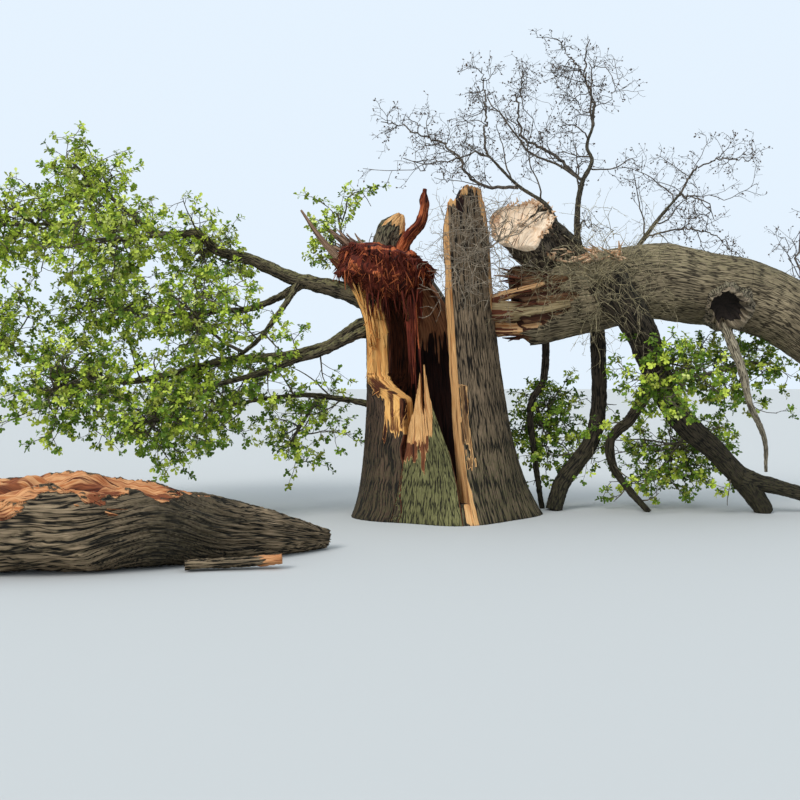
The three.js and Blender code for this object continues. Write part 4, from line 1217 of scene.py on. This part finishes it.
bare_oak = oak(
    "bare_limb_bark", (0.016, 0.012, 0.008), (0.13, 0.11, 0.075), OLD_MOSS, 0.5, plate=(0.02, 0.08))
BARE_LIMBS = {
    "leader": (0.054, 0.019, [
        (1.83, -0.04, 3.20), (1.767, -0.06, 3.879), (1.829, -0.08, 4.362), (1.963, -0.06, 4.655),
        (1.904, -0.02, 4.849), (1.992, 0.03, 5.138)]),
    "leader_left": (0.038, 0.016, [
        (1.80, -0.06, 3.56), (1.485, -0.40, 3.702), (1.31, -0.52, 3.981), (0.932, -0.52, 4.242),
        (0.534, -0.56, 4.632)]),
    "bare_limb_right": (0.042, 0.017, [
        (2.44, 0.03, 3.30), (2.705, 0.10, 3.678), (2.944, 0.20, 3.975), (3.232, 0.32, 4.293)]),
}
for number, (name, (root, tip, route)) in enumerate(BARE_LIMBS.items()):
    limb = timber(name, route, root, tip, 0.013, (0.03, 0.1), 0.005, 0.4, 0.1, seed=50 + number)
    dress(limb, bare_oak, "bark", name)

# Leafy boughs: the limbs of the left stem, which still live. They leave it half way up and near its top, and
# run out level and crooked, mossy above and dark below.

BOUGHS = {
    "upper_bough": (0.120, 0.042, [
        (-0.90, 0, 2.78), (-1.221, 0, 2.922), (-2.053, 0.08, 3.142), (-2.525, 0.12, 3.361),
        (-3.028, 0.16, 3.513), (-3.291, 0.20, 3.72), (-3.812, 0.24, 3.739), (-4.248, 0.26, 4.039)]),
    "upper_branch_back": (0.058, 0.032, [
        (-1.85, 0.06, 3.07), (-2.18, 0.25, 2.904), (-2.654, 0.52, 2.749), (-3.087, 0.70, 2.735),
        (-4.0, 0.90, 2.65)]),
    "upper_branch_front": (0.048, 0.030, [
        (-1.904, 0.06, 3.08), (-2.099, -0.10, 2.741), (-2.413, -0.40, 2.267), (-2.601, -0.52, 2.096)]),
    "middle_bough_back": (0.084, 0.034, [
        (-0.82, 0.06, 2.52), (-1.104, 0.06, 2.501), (-1.558, 0.25, 2.228), (-2.274, 0.45, 2.085),
        (-2.96, 0.56, 2.04), (-4.30, 0.35, 1.75), (-5.30, 0.20, 1.95)]),
    "middle_bough_front": (0.070, 0.034, [
        (-0.98, 0.02, 2.42), (-1.10, -0.10, 2.38), (-1.595, -0.32, 2.128), (-1.922, -0.42, 2.022),
        (-2.333, -0.56, 1.853), (-2.90, -0.70, 1.70)]),
    "low_bough": (0.048, 0.026, [
        (-0.85, 0.06, 1.40), (-1.051, 0.06, 1.46), (-1.736, 0.10, 1.56), (-2.192, 0.10, 1.539),
        (-2.90, 0.08, 1.42)]),
}
bough_oak = oak(
    "bough_bark", (0.009, 0.007, 0.004), (0.135, 0.106, 0.064), (0.225, 0.205, 0.080), 0.9,
    plate=(0.036, 0.26))
for number, (name, (root, tip, route)) in enumerate(BOUGHS.items()):
    bough = timber(name, route, root, tip, 0.016, (0.035, 0.12), 0.009, 0.7, 0.14, seed=60 + number)
    dress(bough, bough_oak, "mossy_bark" if name.startswith("upper") else "bark", name)

# Twigs and leaves of the living masses. Each mass grows from one stem that leaves its bough: side twigs
# leave the stem at even turns, shoots leave them, sprigs leave those, and each ends in a spray of lobed
# leaves. The boughs bear such shoots too, and the masses grow a little beyond their spaces to meet.

GOLDEN_TURN = 2.39996  # radians between one shoot or leaf and the next
ANY_TURN = 6.28  # the first of them turns by anything up to this
STEM_POINTS = 12
LIMB_POINTS = 40  # points on a limb that bears shoots


def reach_out(start, centre, reach, tip_way, width):
    """A mass's stem, from its limb through the middle of its space to the far side, and its width."""
    out = unit(centre - start)
    far = centre + out * 0.55 * min(reach)
    bend = start + (centre - start) * 0.35 + tip_way * 0.06
    line = smooth_line([start, bend, centre, far], STEM_POINTS)
    return line, np.linspace(width, 0.4 * width, STEM_POINTS)


def side_shoots(parents, each, lengths, spread, kink, pull, steps, chance, low=0.15, level=1.0):
    """Shoots on the sides of their parents, at even turns round them. Their way wanders by kink, pull bends
    their tips, and a level under 1 holds them nearer the level."""
    count, points = parents.shape[:2]
    share = low + (1 - low) * (np.arange(each)[None] + chance.uniform(0, 1, (count, each))) / each
    at = np.clip(share, 0, 0.999) * (points - 1)
    low_at = at.astype(int)
    part = (at - low_at)[..., None]
    rows = np.arange(count)[:, None]
    start = parents[rows, low_at] * (1 - part) + parents[rows, low_at + 1] * part
    ahead = unit(parents[rows, low_at + 1] - parents[rows, low_at])
    across, up = square_to(ahead)
    turn = (np.arange(each) * GOLDEN_TURN + chance.uniform(0, ANY_TURN, (count, 1)))[..., None]
    lean = np.radians(chance.normal(spread, 12, (count, each, 1)))
    way = unit(ahead * np.cos(lean) + (across * np.cos(turn) + up * np.sin(turn)) * np.sin(lean))
    way = unit(way * np.array([1, 1, level]))
    size = chance.uniform(*lengths, (count, each, 1)) * (1.2 - 0.6 * share[..., None])
    start, way, size = start.reshape(-1, 3), way.reshape(-1, 3), size.reshape(-1, 1)
    wander = np.cumsum(chance.normal(0, kink, (len(way), steps - 1, 3)), axis=1)
    bent = way[:, None] + wander + np.array(pull) * np.linspace(0.1, 1, steps - 1)[None, :, None]
    moves = unit(bent) * size[:, None] / (steps - 1)
    return np.concatenate([start[:, None], start[:, None] + np.cumsum(moves, axis=1)], axis=1)


CROWN_LOW = np.array([-7.5, -2.6, 0.10])
CROWN_HIGH = np.array([8.95, 1.75, 6.42])
TRUNK_CLEAR = 0.95  # no shoot comes nearer to the trunk's middle
TRUNK_TOP = 4.2


def kept(lines, share=1.0, chance=None):
    """The lines inside the crown's reach, above the ground and out of the trunk, or a share of them."""
    clear = np.hypot(lines[..., 0] - TRUNK_LEAN * lines[..., 2], lines[..., 1])[:, 1:].min(1) > TRUNK_CLEAR
    clear |= lines[:, 1:, 2].min(1) > TRUNK_TOP
    inside = ((lines > CROWN_LOW) & (lines < CROWN_HIGH)).all(axis=(1, 2))
    if share < 1:
        inside &= chance.uniform(0, 1, len(lines)) < share
    return lines[inside & clear]


def first_twigs(stem, count, centre, reach, kink, steps, chance, shares=(0.5, 1.12), bow=0.0, leave=0.25):
    """Twigs from the stem to points spread evenly through the space. bow lowers their middles."""
    height = 1 - 2 * (np.arange(count) + 0.5) / count
    turn = np.arange(count) * GOLDEN_TURN + chance.uniform(0, 6)
    ring = np.sqrt(1 - height**2)
    way = np.stack([ring * np.cos(turn), ring * np.sin(turn), height], axis=-1)
    end = centre + way * reach * chance.uniform(*shares, (count, 1))
    at = chance.uniform(leave, 0.97, count) * (len(stem) - 1)
    start = stem[np.rint(at).astype(int)]
    share = np.linspace(0, 1, steps)[None, :, None]
    line = start[:, None] * (1 - share) + end[:, None] * share
    arch = np.sin(share * math.pi)
    sway = chance.normal(0, 1, (count, 1, 3)) * 0.10 * arch - np.array([0, 0, bow]) * arch
    jitter = np.cumsum(chance.normal(0, kink, (count, steps, 3)), axis=1) * arch
    return line + sway + jitter


def tapered(lines, root, tip):
    """The width at each point of each line, from root to tip."""
    return np.broadcast_to(np.linspace(root, tip, lines.shape[1]), lines.shape[:2])


LEAF_EDGE = np.array([(0.24, 0.20), (0.42, 0.16), (0.62, 0.33), (0.80, 0.24), (0.95, 0.17)])
LEAF_FOLD = 0.30
LEAF_POINTS = np.array(
    [(0, 0, 0), (1, 0, 0)]
    + [(along, side * away, LEAF_FOLD * away) for side in (1, -1) for along, away in LEAF_EDGE])
LEAF_FACES = np.array([(0, 1, 6, 5, 4, 3, 2), (0, 7, 8, 9, 10, 11, 1)])
# greens from sunlit to shaded leaves: besides the leaves' own variety, the light ones are painted light and
# the darkest painted shade
LEAF_GREENS = [
    (0.405, 0.515, 0.046), (0.550, 0.635, 0.080), (0.175, 0.280, 0.025), (0.655, 0.705, 0.205),
    (0.325, 0.355, 0.052), (0.095, 0.172, 0.014),
]
BRIGHT, LIME, MID, PALE, OLIVE, DARK = range(len(LEAF_GREENS))
LEAVES_EACH_SPRAY = 6
LEAF_SIZES = (0.045, 0.076)


def leaf_sprays(lines, each, sizes, chance):
    """Sprays of lobed leaves round the ends of shoots: where they start, their way, the way they face and
    their size."""
    tips = lines[:, -1]
    count = len(tips)
    ways = unit(unit(tips - lines[:, -2]) + np.array([0, 0, 0.2]))
    across, up = square_to(ways)
    turn = (np.arange(each) * GOLDEN_TURN + chance.uniform(0, ANY_TURN, (count, 1)))[..., None]
    lean = np.radians(chance.uniform(35, 95, (count, each, 1)))
    aside = across[:, None] * np.cos(turn) + up[:, None] * np.sin(turn)
    way = ways[:, None] * np.cos(lean) + aside * np.sin(lean)
    way = unit(way + np.array([0, 0, -0.15]))
    upward = ways[:, None] + np.array([0, 0, 0.8]) + chance.normal(0, 0.25, (count, each, 3))
    face = unit(upward - way * np.sum(way * upward, axis=-1, keepdims=True))
    start = tips[:, None] - ways[:, None] * chance.uniform(0, 0.06, (count, each, 1))
    size = chance.uniform(*sizes, (count, each, 1))
    return [part.reshape(-1, part.shape[-1]) for part in (start, way, face, size)]


def leaf_mesh(start, way, face, size):
    """The points and faces of many leaves."""
    side = np.cross(face, way)
    shape = LEAF_POINTS[None]
    points = start[:, None] + size[:, None] * (
        way[:, None] * shape[..., :1] + side[:, None] * shape[..., 1:2] + face[:, None] * shape[..., 2:3])
    first = (np.arange(len(start)) * len(LEAF_POINTS))[:, None, None]
    faces = (first + LEAF_FACES[None]).reshape(-1, LEAF_FACES.shape[1])
    return points.reshape(-1, 3), [faces]


LEAF_MASSES = {
    "leaves_peak": ("upper_bough", 1.0, (-4.76, 0.15, 4.50), (0.62, 0.80, 0.56), 0.85),
    "leaves_top_left": ("upper_bough", 0.94, (-5.74, -0.15, 3.80), (0.98, 1.05, 0.72), 1.4),
    "leaves_upper_front": ("upper_bough", 0.8, (-4.26, -0.85, 3.51), (0.93, 0.80, 0.62), 1.2),
    "leaves_upper_right": ("upper_bough", 0.62, (-3.23, 0.35, 3.54), (0.79, 0.80, 0.52), 0.55),
    "leaves_behind_top": ("upper_bough", 0.1, (-1.42, 0.90, 3.95), (0.78, 0.50, 0.48), 0.45),
    "leaves_centre_back": ("upper_branch_back", 1.0, (-4.69, 0.85, 2.84), (1.06, 0.85, 0.74), 1.3),
    "leaves_middle_front": ("upper_branch_front", 1.0, (-3.14, -1.05, 2.62), (0.83, 0.76, 0.61), 1.0),
    "leaves_far_left": ("middle_bough_back", 1.0, (-6.30, 0.15, 2.51), (1.00, 1.15, 0.80), 1.5),
    "leaves_low_left": ("middle_bough_back", 0.86, (-4.84, -0.35, 1.70), (0.97, 1.00, 0.78), 1.6),
    "leaves_low_front": ("middle_bough_front", 1.0, (-3.52, -1.00, 1.33), (0.86, 0.80, 0.71), 1.3),
    "leaves_low_back": ("low_bough", 1.0, (-3.29, 0.65, 1.49), (0.84, 0.76, 0.84), 1.0),
    "leaves_near_trunk": ("low_bough", 0.4, (-1.90, 0.15, 1.16), (0.64, 0.76, 0.68), 0.5),
    "leaves_right_front": ("prop_limb", 0.28, (2.88, -0.72, 1.80), (0.64, 0.50, 0.68), 0.9),
    "leaves_right_back": ("prop_limb", 0.42, (4.14, 0.75, 1.94), (0.87, 0.66, 0.70), 1.0),
    "leaves_under_stem": ("thin_prop", 0.45, (1.48, 0.85, 1.13), (0.60, 0.50, 0.90), 1.1),
    "leaves_low_right": ("prop_limb", 0.6, (3.25, 0.76, 0.70), (1.20, 0.64, 0.62), 1.3),
    "leaves_end_front": ("end_bough_front", 1.0, (8.05, -0.95, 1.15), (0.78, 0.82, 0.70), 1.1),
    "leaves_end_back": ("end_bough_back", 1.0, (7.90, 0.90, 2.10), (0.78, 0.65, 0.68), 1.1),
}


def stem_of(limb, at, centre, reach, width):
    """Where and how a mass's stem leaves its limb."""
    line, widths = limbs[limb]
    station = min(int(at * (len(line) - 1)), len(line) - 2)
    ahead = unit(line[station + 1] - line[station])
    start = line[-1] - ahead * 0.04 if at == 1.0 else line[station]
    tip_way = ahead if at == 1.0 else unit(centre - start)
    return reach_out(start, centre, reach, tip_way, min(widths[station] * 0.8, width))


twig_batches = []
spray_parts = []


LEAF_DIM_FROM = 0.5  # right of this the leaves grow in the fallen stem's shade


def leafy(twigs, chance, each=7, share=1.0):
    """Shoots, sprigs and leaves on living twigs. The lower they grow, the darker their leaves, as painted
    shade, and to the right of the trunk, in painted shade of the fallen stem, they are darker still."""
    shoots = side_shoots(twigs, each, (0.18, 0.52), 50, 0.22, (0, 0, -0.10), 5, chance, level=0.7)
    shoots = kept(shoots, share, chance)
    sprigs = kept(side_shoots(shoots, 3, (0.07, 0.20), 46, 0.22, (0, 0, 0.10), 3, chance, 0.3, level=0.85))
    twig_batches.append(tubes(twigs, tapered(twigs, 0.013, 0.0045), 5))
    twig_batches.append(tubes(shoots, tapered(shoots, 0.0060, 0.0028), 3))
    twig_batches.append(tubes(sprigs, tapered(sprigs, 0.0032, 0.0018), 3))
    for lines in (shoots, sprigs):
        parts = leaf_sprays(lines, LEAVES_EACH_SPRAY, LEAF_SIZES, chance)
        # painted light and shade: high leaves get more of the light greens, low ones more of the darkest,
        # and right of LEAF_DIM_FROM they are dealt as if low
        high = rise(lines[:, -1, 2] - 0.4, 3.4) * np.where(lines[:, -1, 0] > LEAF_DIM_FROM, 0.25, 1)
        deep = 0.38 - 0.34 * high
        mid = deep + 0.28 - 0.10 * high
        deal = chance.uniform(0, 1, len(lines))
        green = np.select(
            [deal < deep, deal < mid, deal < mid + 0.08, deal < mid + 0.08 + 0.12 * high,
             deal < mid + 0.28 + 0.14 * high],
            [DARK, MID, OLIVE, PALE, LIME], BRIGHT)
        spray_parts.append((*parts, np.repeat(green, LEAVES_EACH_SPRAY)))


for number, (name, (limb, at, centre, reach, fullness)) in enumerate(LEAF_MASSES.items()):
    chance = np.random.default_rng(200 + number)
    centre, reach = np.array(centre), np.array(reach)
    stem, stem_widths = stem_of(limb, at, centre, reach, 0.034)
    twig_batches.append(tubes(stem[None], stem_widths[None], 8))
    twigs = kept(first_twigs(stem, round(16 * fullness), centre, reach, 0.022, 10, chance))
    leafy(twigs, chance)

# for each bough: its twigs, the share of it that bears none, and the share of their shoots that live
BOUGH_TWIGS = {
    "upper_bough": (10, 0.45, 0.6), "upper_branch_back": (7, 0.4, 0.55),
    "upper_branch_front": (5, 0.4, 0.55),
    "middle_bough_back": (13, 0.35, 0.75), "middle_bough_front": (7, 0.35, 0.7), "low_bough": (10, 0.2, 0.5),
    "prop_limb": (5, 0.2, 0.5), "crooked_branch": (5, 0.2, 0.45), "left_prop": (4, 0.35, 0.4),
    "fallen_stem_end": (10, 0.55, 0.6),
}
for number, (name, (count, bare, share)) in enumerate(BOUGH_TWIGS.items()):
    chance = np.random.default_rng(240 + number)
    bough = smooth_line(limbs[name][0], LIMB_POINTS)[None]
    twigs = kept(side_shoots(bough, count, (0.35, 0.95), 58, 0.10, (0, 0, 0.05), 9, chance, bare, level=0.8))
    leafy(twigs, chance, 6, share)


def twig_finish(name, dark, light):
    """Smooth thin bark with small lighter flecks."""
    material, tree, shader = new_finish(name, 0.8)
    place = node(tree, "ShaderNodeTexCoord").outputs["Object"]
    fleck = spots(tree, place, 18.0, 3.0)
    colour = blend(tree, ranged(tree, fleck, 0.35, 0.65), (*dark, 1), (*light, 1))
    tree.links.new(colour, shader.inputs["Base Color"])
    return material


living_finish = twig_finish("living_twig", (0.040, 0.031, 0.018), (0.150, 0.122, 0.068))
half = len(twig_batches) // 2
twig_halves = {"living_twigs_left": twig_batches[:half], "living_twigs_right": twig_batches[half:]}
for name, batches in twig_halves.items():
    dress(joined(name, *gather(batches)[:2]), living_finish, "twig", *LEAF_MASSES)

start, way, face, size, green = (np.concatenate(part) for part in zip(*spray_parts))
for number, colour in enumerate(LEAF_GREENS):
    chosen = green == number
    material, tree, shader = new_finish(f"young_leaf_{number + 1}", 0.6)
    shader.inputs["Base Color"].default_value = (*colour, 1)
    shader.inputs["Specular IOR Level"].default_value = 0.2
    leaves = joined(
        f"young_leaves_{number + 1}", *leaf_mesh(start[chosen], way[chosen], face[chosen], size[chosen]))
    dress(leaves, material, "leaf", *LEAF_MASSES)

# Bare crown: the fallen stem's dead twigs. They branch as the living ones do but kink at each joint, and
# bear only small dark buds. The bare limbs bear long side branches of the same kind.

BARE_MASSES = {
    "twigs_crown_top": ("leader", 1.0, (1.95, 0.04, 5.60), (0.80, 0.70, 0.82), 1.0),
    "twigs_crown_middle": ("leader", 0.6, (0.88, 0.33, 5.41), (0.72, 0.64, 0.70), 1.1),
    "twigs_crown_left": ("leader_left", 1.0, (-0.23, -0.56, 4.60), (0.80, 0.56, 0.56), 1.0),
    "twigs_crown_right": ("bare_limb_right", 1.0, (3.34, 0.30, 4.17), (0.95, 0.74, 0.74), 1.0),
    "twigs_far_right": ("fallen_stem", 0.55, (4.90, 0.25, 3.78), (0.76, 0.64, 0.56), 0.8),
}


def dead_twigs(twigs, each, lengths, kink, pull, chance, root=0.008):
    """The shoots and spurs of dead twigs, as batches of tubes, and the ends that bear buds."""
    shoots = kept(side_shoots(twigs, each, lengths, 50, kink, pull, 8, chance, 0.2))
    small = kept(
        side_shoots(shoots, 3, (lengths[0] * 0.4, lengths[1] * 0.45), 48, kink, pull, 6, chance, 0.2))
    spurs = kept(side_shoots(small, 2, (0.03, 0.12), 52, kink, pull, 4, chance, 0.2))
    sizes = (
        (twigs, root, 0.0038), (shoots, 0.0042, 0.0022), (small, 0.0028, 0.0017), (spurs, 0.0021, 0.0014))
    batches = [tubes(lines, tapered(lines, thick, thin), 3) for lines, thick, thin in sizes]
    return batches, [small[:, -1], spurs[:, -1]]


def grow_bare(
    masses, first_seed, count=4, each=5, lengths=(0.22, 0.66), curl=0.28, pull=(0, 0, 0.04), kink=0.05,
    thick=0.020, **ways):
    """The twigs of bare masses, in batches of tubes, and the ends that bear buds. curl is how much their
    shoots wander and kink how much the twigs do."""
    batches, ends = [], []
    for number, (name, (limb, at, centre, reach, fullness)) in enumerate(masses.items()):
        chance = np.random.default_rng(first_seed + number)
        centre, reach = np.array(centre), np.array(reach)
        stem, stem_widths = stem_of(limb, at, centre, reach, thick)
        wander = np.cumsum(chance.normal(0, 0.5, stem.shape), axis=0)
        stem = stem + 0.07 * wander * np.sin(np.linspace(0, 3, STEM_POINTS))[:, None]
        batches.append(tubes(stem[None], stem_widths[None], 6))
        twigs = kept(first_twigs(stem, round(count * fullness), centre, reach, kink, 12, chance, **ways))
        grown, tips = dead_twigs(twigs, each, lengths, curl, pull, chance)
        batches += grown
        ends += tips
    return batches, ends


crown_batches, crown_ends = grow_bare(BARE_MASSES, 300)
BARE_BRANCHES = {"leader": 6, "leader_left": 4, "bare_limb_right": 3}
for number, (name, count) in enumerate(BARE_BRANCHES.items()):
    chance = np.random.default_rng(310 + number)
    limb = smooth_line(limbs[name][0], LIMB_POINTS)[None]
    branches = kept(side_shoots(limb, count, (0.5, 1.15), 46, 0.26, (0, 0, 0.12), 14, chance, 0.2))
    crown_batches.append(tubes(branches, tapered(branches, 0.012, 0.005), 5))
    grown, tips = dead_twigs(branches, 6, (0.16, 0.48), 0.30, (0, 0, 0.04), chance, 0.016)
    crown_batches += grown[1:]
    crown_ends += tips

# the crown's crooked branches, listed one by one: the width at the root, how many twigs each bears, and its
# route
CROOKED = (
    (0.027, 10, [
        (1.79, 0, 4.44), (1.50, 0.05, 4.74), (1.25, 0.1, 4.90), (1.08, 0.15, 5.02), (1.02, 0.2, 5.24),
        (1.00, 0.2, 5.56), (1.09, 0.2, 5.84), (1.05, 0.2, 5.99)]),
    (0.022, 9, [
        (1.99, 0.03, 5.14), (1.99, 0.05, 5.52), (1.89, 0.05, 5.77), (1.91, 0.05, 6.15), (1.94, 0.05, 6.33)]),
    (0.012, 5, [(1.89, 0.05, 5.77), (1.74, 0.05, 6.00), (1.53, 0.05, 6.25)]),
    (0.018, 7, [
        (0.534, -0.56, 4.632), (0.50, -0.55, 4.85), (0.53, -0.55, 5.14), (0.50, -0.5, 5.45),
        (0.476, -0.5, 5.75)]),
    (0.024, 11, [
        (0.932, -0.52, 4.22), (0.565, -0.55, 4.22), (0.297, -0.55, 4.35), (0.195, -0.55, 4.58),
        (-0.07, -0.5, 4.80), (-0.379, -0.5, 4.91), (-0.608, -0.5, 5.01), (-0.81, -0.5, 5.04)]),
    (0.015, 7, [
        (2.705, 0.10, 3.678), (3.128, 0.1, 3.777), (3.477, 0.1, 3.75), (3.758, 0.1, 3.63),
        (3.825, 0.1, 3.50)]),
    (0.016, 7, [(3.232, 0.32, 4.293), (3.50, 0.4, 4.67), (3.92, 0.4, 4.80), (4.21, 0.4, 4.755)]),
)
for number, (width, count, route) in enumerate(CROOKED):
    chance = np.random.default_rng(330 + number)
    branch = smooth_line(route, LIMB_POINTS)[None]
    wander = np.linspace(0.3, 1, LIMB_POINTS)[None, :, None]
    branch = branch + 0.018 * chance.normal(0, 1, branch.shape) * wander
    crown_batches.append(tubes(branch, tapered(branch, width, 0.006), 6))
    twigs = kept(side_shoots(branch, count, (0.22, 0.62), 50, 0.22, (0, 0, 0.05), 10, chance, 0.1))
    grown, tips = dead_twigs(twigs, 5, (0.12, 0.40), 0.28, (0, 0, 0.03), chance)
    crown_batches += grown
    crown_ends += tips
bare_crown = joined("bare_crown_twigs", *gather(crown_batches)[:2])
bare_finish = twig_finish("bare_twig", (0.034, 0.024, 0.017), (0.115, 0.088, 0.060))
dress(bare_crown, bare_finish, "twig", *BARE_MASSES)

chance = np.random.default_rng(320)
crown_ends = np.concatenate(crown_ends)
bud_at = crown_ends[chance.uniform(0, 1, len(crown_ends)) < 0.45]
bud_way = unit(chance.normal(size=bud_at.shape))
bud_lines = bud_at[:, None] + bud_way[:, None] * np.array([-0.006, 0.008, 0.022])[None, :, None]
bud_width = chance.uniform(0.006, 0.013, (len(bud_at), 1)) * np.array([0.3, 1.0, 0.35])
buds = joined("old_buds", *tubes(bud_lines, bud_width, 3)[:2])
bud_finish = twig_finish("old_bud", (0.035, 0.018, 0.010), (0.110, 0.060, 0.030))
dress(buds, bud_finish, "twig", *BARE_MASSES)

# Hanging tangles: long thin olive twigs that fan out and hang in front of the butt, and paler ones in front
# of the right stem.

STEM_TANGLE = {"twigs_before_stem": ("fallen_stem", 0.14, (1.85, -0.92, 3.05), (1.05, 0.34, 0.66), 1.3)}
TRUNK_TANGLE = {"twigs_before_trunk": ("leader_left", 0.42, (0.30, -1.20, 3.25), (0.56, 0.30, 0.80), 1.3)}
tangle_kinds = (
    ("olive_tangle", STEM_TANGLE, 340, 17, (0.45, 1.15), -0.30, (0.100, 0.080, 0.042),
        (0.400, 0.325, 0.175)),
    ("pale_tangle", TRUNK_TANGLE, 350, 15, (0.3, 0.8), -0.12, (0.130, 0.100, 0.068), (0.390, 0.310, 0.215)),
)
for name, masses, seed, count, lengths, droop, dark, light in tangle_kinds:
    batches, ends = grow_bare(
        masses, seed, count, 5, lengths, 0.34, (0, 0, droop), 0.045, 0.012, shares=(0.6, 1.05), bow=-0.10,
        leave=0.55)
    dress(joined(name, *gather(batches)[:2]), twig_finish(name, dark, light), "twig", *masses)

# Log: a torn-off length of the trunk, lying in front. Its bark is very deeply ridged, and its upper side is
# split off in two rough orange faces that rise to the back.

LOG_ROUTE = [
    (-1.35, -2.90, 0.105), (-1.70, -3.23, 0.19), (-2.05, -3.48, 0.26), (-2.40, -3.68, 0.32),
    (-2.85, -3.89, 0.38),
    (-3.35, -4.08, 0.44), (-3.90, -4.19, 0.47), (-4.50, -4.23, 0.47), (-5.15, -4.18, 0.45),
]
# each face's height at the origin and its climb along X and Y
LOG_SPLITS = ((2.535, 0.0, 0.42), (1.364, -0.348, 0.43))


def split_height(x, y):
    """The height of the log's two split faces at a place: the lower one counts."""
    return np.min([height + along_x * x + along_y * y for height, along_x, along_y in LOG_SPLITS], axis=0)


def split_off(piece):
    """Splits the log's upper side off: what stands above the split faces is drawn down on to them."""
    mesh = piece.data
    points = np.empty(len(mesh.vertices) * 3)
    mesh.vertices.foreach_get("co", points)
    points = points.reshape(-1, 3)
    x, y, z = points.T
    rugged = rough(x * 1.7, y * 4, 0.0, 130) + 0.6 * rough(x * 4, y * 13, 0.0, 134)
    route_x, route_y, _ = np.array(LOG_ROUTE[::-1]).T
    lip = 0.30 * np.clip(np.interp(x, route_x, route_y) - y, 0, 0.45) * rise(x + 4.3, 0.8)
    face = split_height(x, y) + 0.085 * rugged + lip
    mottled = 0.40 + 0.45 * rough(x * 2.2, y * 9, 0.0, 138) - 0.25 * rugged
    above = z - face
    points[:, 2] = np.where(above > 0, face, z)
    mesh.vertices.foreach_set("co", points.ravel())
    mesh.attributes["torn"].data.foreach_set("value", np.clip(above / 0.01 + 0.3, 0, 1).astype(np.float32))
    mesh.attributes["rot"].data.foreach_set("value", ((above > 0) * mottled).astype(np.float32))
    corners = np.empty(len(mesh.loops), np.int32)
    mesh.loops.foreach_get("vertex_index", corners)
    grain = np.empty(len(mesh.loops) * 2)
    mesh.uv_layers["grain"].data.foreach_get("uv", grain)
    grain = np.where((above > 0)[corners, None], points[corners][:, [1, 0]], grain.reshape(-1, 2))
    mesh.uv_layers["grain"].data.foreach_set("uv", grain.ravel())
    mesh.update()


log_oak = oak(
    "log_bark", (0.002, 0.0015, 0.001), (0.440, 0.320, 0.200), (0.220, 0.178, 0.092), 0.25,
    tones((0.66, 0.34, 0.150), (0.40, 0.125, 0.035), (0.24, 0.052, 0.016)),
    tones((0.26, 0.078, 0.028), (0.120, 0.030, 0.012), (0.040, 0.011, 0.006)),
    (0.044, 0.58),
)
# the whorl gives the log's middle painted shade through the dark mark
log = timber(
    "fallen_log", LOG_ROUTE, 0.11, 0.48, 0.0155, (0.054, 0.50), 0.046, knobs=0.08, seed=140, bulge=0.13,
    whorl=(1.85, 0.42, -0.10))
split_off(log)
dress(log, log_oak, "bark", "fallen_log")

# torn slabs and splinters lie on the split faces, and a torn strip of bark lies in front of the log
chance = np.random.default_rng(145)
slab_count = 170
slab_x = chance.uniform(-5.1, -3.3, slab_count)
slab_y = np.interp(slab_x, [-5.15, -3.35], [-4.18, -4.08]) + chance.uniform(-0.34, 0.06, slab_count)
slab_start = np.stack([slab_x, slab_y, split_height(slab_x, slab_y) - 0.05], axis=-1)
slab_way = np.array([1.0, 0, -0.06]) + chance.normal(0, 1, (slab_count, 3)) * np.array([0.2, 0.3, 0.05])
log_slabs = splinters(slab_count, slab_start, slab_way, (0.10, 0.42), (0.010, 0.042), 0.06, 22)
torn_pieces(
    "log_slabs", log_slabs, rotten(chance, slab_count, 0.2) * 0.6, log_oak, "torn_wood", "fallen_log")


def bark_strip(radius, angle, gone, length, close):
    ragged = round_rough(angle, 3, gone * 4, 96)
    torn = rise(gone - length + 0.22 + 0.1 * ragged, 0.04)
    return radius * (1 + 0.3 * ragged) * (1 - 0.45 * np.abs(np.sin(angle))), {"torn": torn, "depth": 0.012}


strip_route = [(-2.53, -4.22, 0.06), (-2.2, -4.15, 0.065), (-1.9, -4.1, 0.075), (-1.66, -4.08, 0.09)]
loose_strip = timber(
    "bark_strip", strip_route, 0.075, 0.085, 0.012, (0.04, 0.12), shape=bark_strip, seed=150)
dress(loose_strip, log_oak, "bark", "fallen_log")

# Floor and light: a plain pale floor at ground level, a bright even sky and one broad soft lamp.

FLOOR_SIZE = 400
FLOOR_GREY = (0.55, 0.55, 0.53, 1)
SKY_BLUE = (0.787, 0.893, 1.0, 1)
LAMP_TURNS = (math.radians(48), math.radians(-14), math.radians(-28))
LAMP_ENERGY = 1.8
LAMP_BREADTH = math.radians(25)
floor_shape = bmesh.new()
bmesh.ops.create_grid(floor_shape, x_segments=1, y_segments=1, size=FLOOR_SIZE)
floor_mesh = bpy.data.meshes.new("floor")
floor_shape.to_mesh(floor_mesh)
floor_shape.free()
floor_paint, tree, shader = new_finish("floor", 0.95)
shader.inputs["Base Color"].default_value = FLOOR_GREY
floor_mesh.materials.append(floor_paint)
floor = placed("floor", floor_mesh)
lamp = placed("sky_lamp", bpy.data.lights.new("sky_lamp", "SUN"))
lamp.data.energy = LAMP_ENERGY
lamp.data.angle = LAMP_BREADTH
lamp.rotation_euler = LAMP_TURNS
world = bpy.data.worlds.new("sky")
world.use_nodes = True
background = world.node_tree.nodes["Background"]
background.inputs["Color"].default_value = SKY_BLUE
background.inputs["Strength"].default_value = 1.0
bpy.context.scene.world = world
bpy.context.scene.view_settings.view_transform = "Standard"
